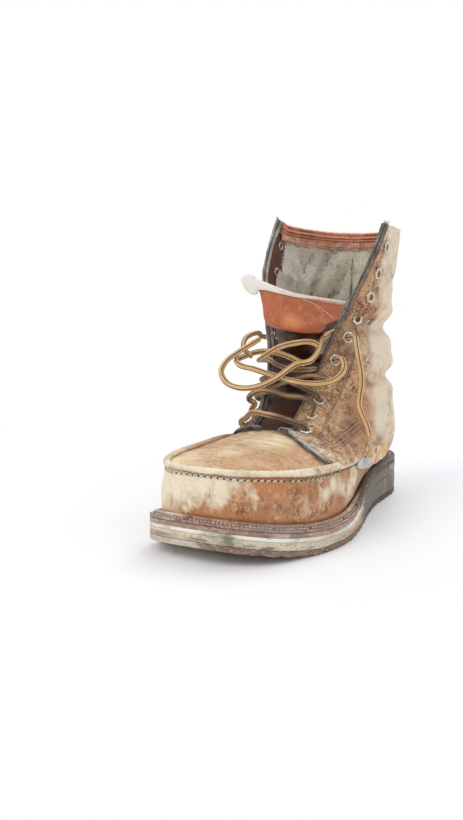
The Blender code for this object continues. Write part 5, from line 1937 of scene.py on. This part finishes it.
def tongue_face():
    """The tongue's front: the cage's row and column at each point, the points, and their directions out."""
    rows, columns = np.linspace(0, LAST_ROW, TONGUE_ROWS), np.linspace(0, LAST_COLUMN, TONGUE_COLUMNS)
    sheet = smooth_grid(tongue_cage(), rows, columns)
    # The medial edge is folded in behind the shaft, all but the corner that sticks out
    for i, row in enumerate(rows):
        first = 0.95 * float(ramp(row, 7.2, 8.4) * (1 - 0.37 * ramp(row, 9.5, 9.95)))
        kept = first + columns * (LAST_COLUMN - first) / LAST_COLUMN
        sheet[i] = np.stack([np.interp(kept, columns, values) for values in sheet[i].T], -1)
    normals = unit(np.cross(np.gradient(sheet, axis=1), np.gradient(sheet, axis=0)))
    row, across = np.meshgrid(rows, columns, indexing="ij")
    # A lip bulges across the tongue where it leaves the throat, with a hollow just below it
    apart = row - lip_row(across)
    soft = 0.5 * noise(sheet, 24, 120) + 0.12 * noise(sheet, 7, 121)
    soft += 2.6 * np.exp(-(((apart - 0.35) / 0.4) ** 2)) - 3.2 * np.exp(-(((apart + 0.35) / 0.26) ** 2))
    return row, across, sheet + normals * (TONGUE / 2 + soft)[..., None], normals


def lip_row(across):
    return 8.15 + 0.12 * np.cos((across - 2) * 1.5)


def make_tongue_leather(row, across, front):
    """The tongue itself, slumped forward over the laces."""
    piece = grid(
        "tongue_leather", np.arange(TONGUE_ROWS), np.arange(TONGUE_COLUMNS), lambda i, j: front[i, j],
        lambda points: np.array((0, -1.0, 0.5)) + 0 * points,
    )
    points = points_of(piece)
    number = nearest(points, front[::2, ::2].reshape(-1, 3))[1]
    row, across = (values[::2, ::2].reshape(-1)[number] for values in (row, across))
    # Painted shade: darker below the lip, back in the throat, and in the fold at the lateral corner; the warm
    # spot on the lip is a painted highlight
    behind = 1 - ramp(row - lip_row(across), -0.1, 0.12)
    folded = ramp(across, 3.0, 3.3) * (1 - ramp(row, 8.55, 8.75))
    paint(
        piece,
        worn=0.9 * near(points, front[-1][::2], 1.4),
        dark=1.2 * behind + 1.2 * folded + 0.25 * ramp(row, 9.0, 9.9),
        warm=1.0 * ramp(-np.hypot(row - 8.75, (across - 1.5) * 0.7), -0.6, -0.05),
    )
    thicken(piece, TONGUE, 0.5)
    finish(piece, tongue_leather, "tongue", "tongue")


# The rolled corner past the tongue's medial end: how far along, half width, and how far down it hangs
CORNER = (
    (13.6, 0.8, 4.4),
    (11.9, 3.2, 4.4),
    (10.2, 4.8, 4.5),
    (8.5, 6.3, 4.7),
    (6.8, 7.2, 4.9),
    (5.1, 7.8, 5.1),
    (3.4, 8.1, 5.3),
    (1.7, 8.2, 5.6),
    (0.7, 8.1, 5.8),
    (0.0, 7.8, 5.9),
)
# The flesh side's half width at some of the tongue's columns, from the medial edge to the lateral one
FLESH_COLUMNS = (0, 5, 9, 21, 33, 56, 80, 89)
FLESH_HALF = (7.4, 5.6, 4.2, 2.6, 1.8, 1.1, 0.8, 0.6)


def make_flesh_side(front, normals):
    """The pale flesh side that shows where the corner has rolled over, narrowing to the cut edge."""
    top, down = front[-1], unit(front[-9] - front[-1])
    reach, corner_half, corner_drop = np.array(CORNER).T
    columns = np.arange(TONGUE_COLUMNS)
    half = np.interp(columns, FLESH_COLUMNS, FLESH_HALF)
    lead = top[0] + unit(top[0] - top[10]) * (reach + 1.2)[:, None]
    drop = np.concatenate([corner_drop, half - np.interp(columns, (0, 8), (2.5, 1.6))])
    half = np.concatenate([corner_half, half])
    hang = np.concatenate([np.repeat(down[:1], len(lead), 0), down])
    out = np.concatenate([np.repeat(normals[-1][:1], len(lead), 0), normals[-1]])
    line = np.concatenate([lead, top]) + out * 0.9 + hang * drop[:, None]
    dense = evenly(line, 0.9)
    run = run_along(line)
    places = np.linspace(0, run[-1], len(dense))
    hang = np.stack([np.interp(places, run, values) for values in hang.T], -1)

    def rolled(at, turn):
        wide = np.interp(at, run, half)
        return wide, np.clip(0.4 * wide, 0.7, 1.9) * (1 + 0.05 * np.sin(at / 3.3))

    edge = tube("tongue_flesh_side", dense, rolled, sides=20, across=hang)
    points = points_of(edge)
    thin = ramp(points[:, 0], -32, 0)
    paint(
        edge,
        worn=0.9 * (1 - 0.6 * thin),
        dark=0.5 * ramp(noise(points, 7, 123), 0.2, 0.8) * thin,
        warm=0.7 * thin,
    )
    finish(edge, flesh_leather, "tongue")


# The stitches inside the tongue's edge: a share of the way along, and the cage's row and column there
TONGUE_SEAM = (
    (0, 9.93, 1.2), (0.12, 9.95, 1.75), (0.3, 9.87, 2.16), (0.5, 9.7, 2.57),
    (0.78, 9.37, 3.04), (0.9, 9.15, 3.32), (1, 8.7, 3.72),
)


def sew_tongue(front, normals):
    share, rows, columns = np.array(TONGUE_SEAM).T
    steps = np.linspace(0, 1, 300)
    i = np.rint(np.interp(steps, share, rows) * (TONGUE_ROWS - 1) / LAST_ROW).astype(int)
    j = np.rint(np.interp(steps, share, columns) * (TONGUE_COLUMNS - 1) / LAST_COLUMN).astype(int)
    line = evenly(front[i, j][::10], 0.4)
    up = normals[i, j][np.linspace(0, len(steps) - 1, len(line)).astype(int)]
    sew("tongue_stitches", line + up * 0.1, up, cream_thread, "tongue", pitch=2.9, length=1.9,
        thickness=0.75, skip=0.03, holes=False)


def make_tongue():
    row, across, front, normals = tongue_face()
    make_tongue_leather(row, across, front)
    make_flesh_side(front, normals)
    sew_tongue(front, normals)


# Eyelets

# The rolled ring: the radius of its middle and of its roll, and the radius that its bore keeps
RING_RADIUS, RING_ROLL, BORE_RADIUS = 3.55, 1.35, 3.0
BARREL_RADIUS, BARREL_DEPTH, BARREL_WALL = 2.75, 6.4, 0.35


def eyelet_master():
    """One eyelet: a flattened six-sided ring, its barrel, and the clenched ring behind the leather."""
    deselect()
    bpy.ops.mesh.primitive_torus_add(
        major_radius=RING_RADIUS * MM, minor_radius=RING_ROLL * MM, major_segments=36, minor_segments=12
    )
    ring = bpy.context.object
    co = metres_of(ring)
    radius = np.hypot(co[:, 0], co[:, 1])
    bore = BORE_RADIUS * MM
    angle = np.arctan2(co[:, 1], co[:, 0]) % (math.pi / 3) - math.pi / 6
    corner = math.cos(math.pi / 6) / np.cos(angle)
    outside = np.clip((radius - bore) / (1.9 * MM), 0, 1)
    pushed = bore + (radius - bore) * np.where(radius > bore, 1.3, 0.7)
    pushed *= 1 - outside * (1 - corner)
    co[:, :2] *= (pushed / radius)[:, None]
    co[:, 2] = co[:, 2] * 0.62 + 0.55 * MM
    ring.data.vertices.foreach_set("co", co.ravel())
    bpy.ops.mesh.primitive_cylinder_add(
        vertices=36, radius=BARREL_RADIUS * MM, depth=BARREL_DEPTH * MM, end_fill_type="NOTHING",
        location=(0, 0, -2.6 * MM),
    )
    barrel = bpy.context.object
    apply(barrel, "SOLIDIFY", thickness=BARREL_WALL * MM, offset=-1)
    bpy.ops.mesh.primitive_torus_add(
        major_radius=3.3 * MM, minor_radius=0.75 * MM, major_segments=36, minor_segments=8,
        location=(0, 0, -5.6 * MM),
    )
    master = join([ring, barrel, bpy.context.object], "eyelet")
    pick(master)
    bpy.ops.object.transform_apply()
    return master


def make_eyelets():
    """Rolled eyelets, modelled once and copied, each with a mesh of its own."""
    master = eyelet_master()
    for side, word in SIDES:
        for number in range(1, len(EYELETS) + 1):
            middle, normal = eyelet_place(number, side)
            middle = middle + normal * (folds(middle[None], side)[0][0] + 0.15)
            turn = Matrix.Rotation(number * 0.35, 3, "Z").to_quaternion()
            turn = (Vector(normal).to_track_quat("Z", "Y") @ turn).to_matrix()
            piece = copy_at(master, middle, turn.to_4x4())
            piece.name = f"rolled_eyelet_{word}_{number}"
            pick(piece)
            bpy.ops.object.transform_apply()
            points = points_of(piece)
            # Painted shade: the bore is painted dark inside
            inside = 1 - ramp(np.linalg.norm(np.cross(points - middle, normal), axis=-1), 2.3, 3.0)
            paint(piece, worn=0.2, dark=0.7 * inside + 0.5 * ramp(noise(points, 5, 130), 0.2, 0.7))
            finish(piece, eyelet_nickel, "eyelet", f"eyelet_{word}_{number}")
    bpy.data.objects.remove(master)


def make_insole():
    base = GAP + MIDSOLE + GAP
    section = [
        (spread, inset, wedge_top(base + rise))
        for spread, inset, rise in (
            (0.0, 0, 5), (0.6, 11, 5), (1.0, 12, 5), (1.0, 11.2, 4), (1.0, 11.2, 0), (0.0, 0, 0),
        )
    ]
    piece = sole_layer("footbed", section, 200)
    points = points_of(piece)
    paint(piece, dark=0.5 * ramp(noise(points, 30, 140), 0, 0.6))
    finish(piece, footbed_leather, "insole", "insole")


make_wall()
make_plug()
make_roll()
sew_moc_seam()
make_quarters()
make_damage()
make_back()
make_band()
make_beads()
make_lining()
make_facings()
make_frays()
make_tongue()
make_eyelets()
make_insole()


# Beyond this many metres from the boot the paper starts to burn out, and then it is all white
PAPER_NEAR, PAPER_FAR = 0.22, 0.6
# The soft lamps: place, aim, size in metres, watts and colour
LAMPS = {
    "key": ((-0.8, -1.5, 1.7), (0, 0, 0.08), 1.3, 14, (1, 0.97, 0.93)),
    "fill": ((1.8, -0.9, 1.1), (0, 0, 0.1), 1.6, 3, (0.93, 0.96, 1)),
    "top": ((0.1, 0.9, 1.9), (0, 0, 0.1), 1.1, 14, (1, 1, 1)),
}


def make_paper():
    """White paper under the boot; it burns out to the background's white for the camera alone."""
    paper, tree, shader = new_material("seamless_paper")
    shader.inputs["Base Color"].default_value = linear("#faf9f7")
    shader.inputs["Roughness"].default_value = 0.95
    place = node(tree, "TexCoord", {}).outputs["Object"]
    far = node(tree, "VectorMath", {0: place}, operation="LENGTH").outputs["Value"]
    ends = {"From Min": PAPER_NEAR, "From Max": PAPER_FAR}
    fade = node(tree, "MapRange", {"Value": far, **ends}, interpolation_type="SMOOTHSTEP").outputs[0]
    seen = node(tree, "LightPath", {}).outputs["Is Camera Ray"]
    white = node(tree, "Emission", {"Color": (1, 1, 1, 1), "Strength": 1.0}).outputs[0]
    mix = node(tree, "MixShader", {0: maths(tree, "MULTIPLY", fade, seen), 1: shader.outputs[0], 2: white})
    tree.links.new(mix.outputs[0], tree.nodes["Material Output"].inputs["Surface"])
    return paper


def make_stage():
    deselect()
    bpy.ops.mesh.primitive_plane_add(size=6)
    floor = bpy.context.object
    floor.name = "floor"
    floor.data.materials.append(make_paper())
    for name, (place, aim, size, energy, tone) in LAMPS.items():
        data = bpy.data.lights.new(name, "AREA")
        data.size, data.energy, data.color = size, energy, tone
        lamp = bpy.data.objects.new(name, data)
        lamp.location = place
        lamp.rotation_euler = (Vector(aim) - Vector(place)).to_track_quat("-Z", "Y").to_euler()
        bpy.context.scene.collection.objects.link(lamp)


def make_world():
    """Soft studio light all round, and plain white where the camera or a mirror looks past the floor."""
    studio = bpy.data.worlds.new("studio")
    bpy.context.scene.world = studio
    studio.use_nodes = True
    tree = studio.node_tree
    for old in list(tree.nodes):
        tree.nodes.remove(old)
    path = node(tree, "LightPath", {}).outputs
    seen = maths(tree, "MAXIMUM", path["Is Camera Ray"], path["Is Glossy Ray"])
    either = maths(tree, "MAXIMUM", seen, path["Is Transmission Ray"])
    light = node(tree, "Background", {"Color": linear("#ecf0fa"), "Strength": 0.74}).outputs[0]
    white = node(tree, "Background", {"Color": (1, 1, 1, 1), "Strength": 1.0}).outputs[0]
    mix = node(tree, "MixShader", {0: either, 1: light, 2: white}).outputs[0]
    node(tree, "OutputWorld", {"Surface": mix})


make_stage()
make_world()
bpy.context.scene.view_settings.view_transform = "Standard"
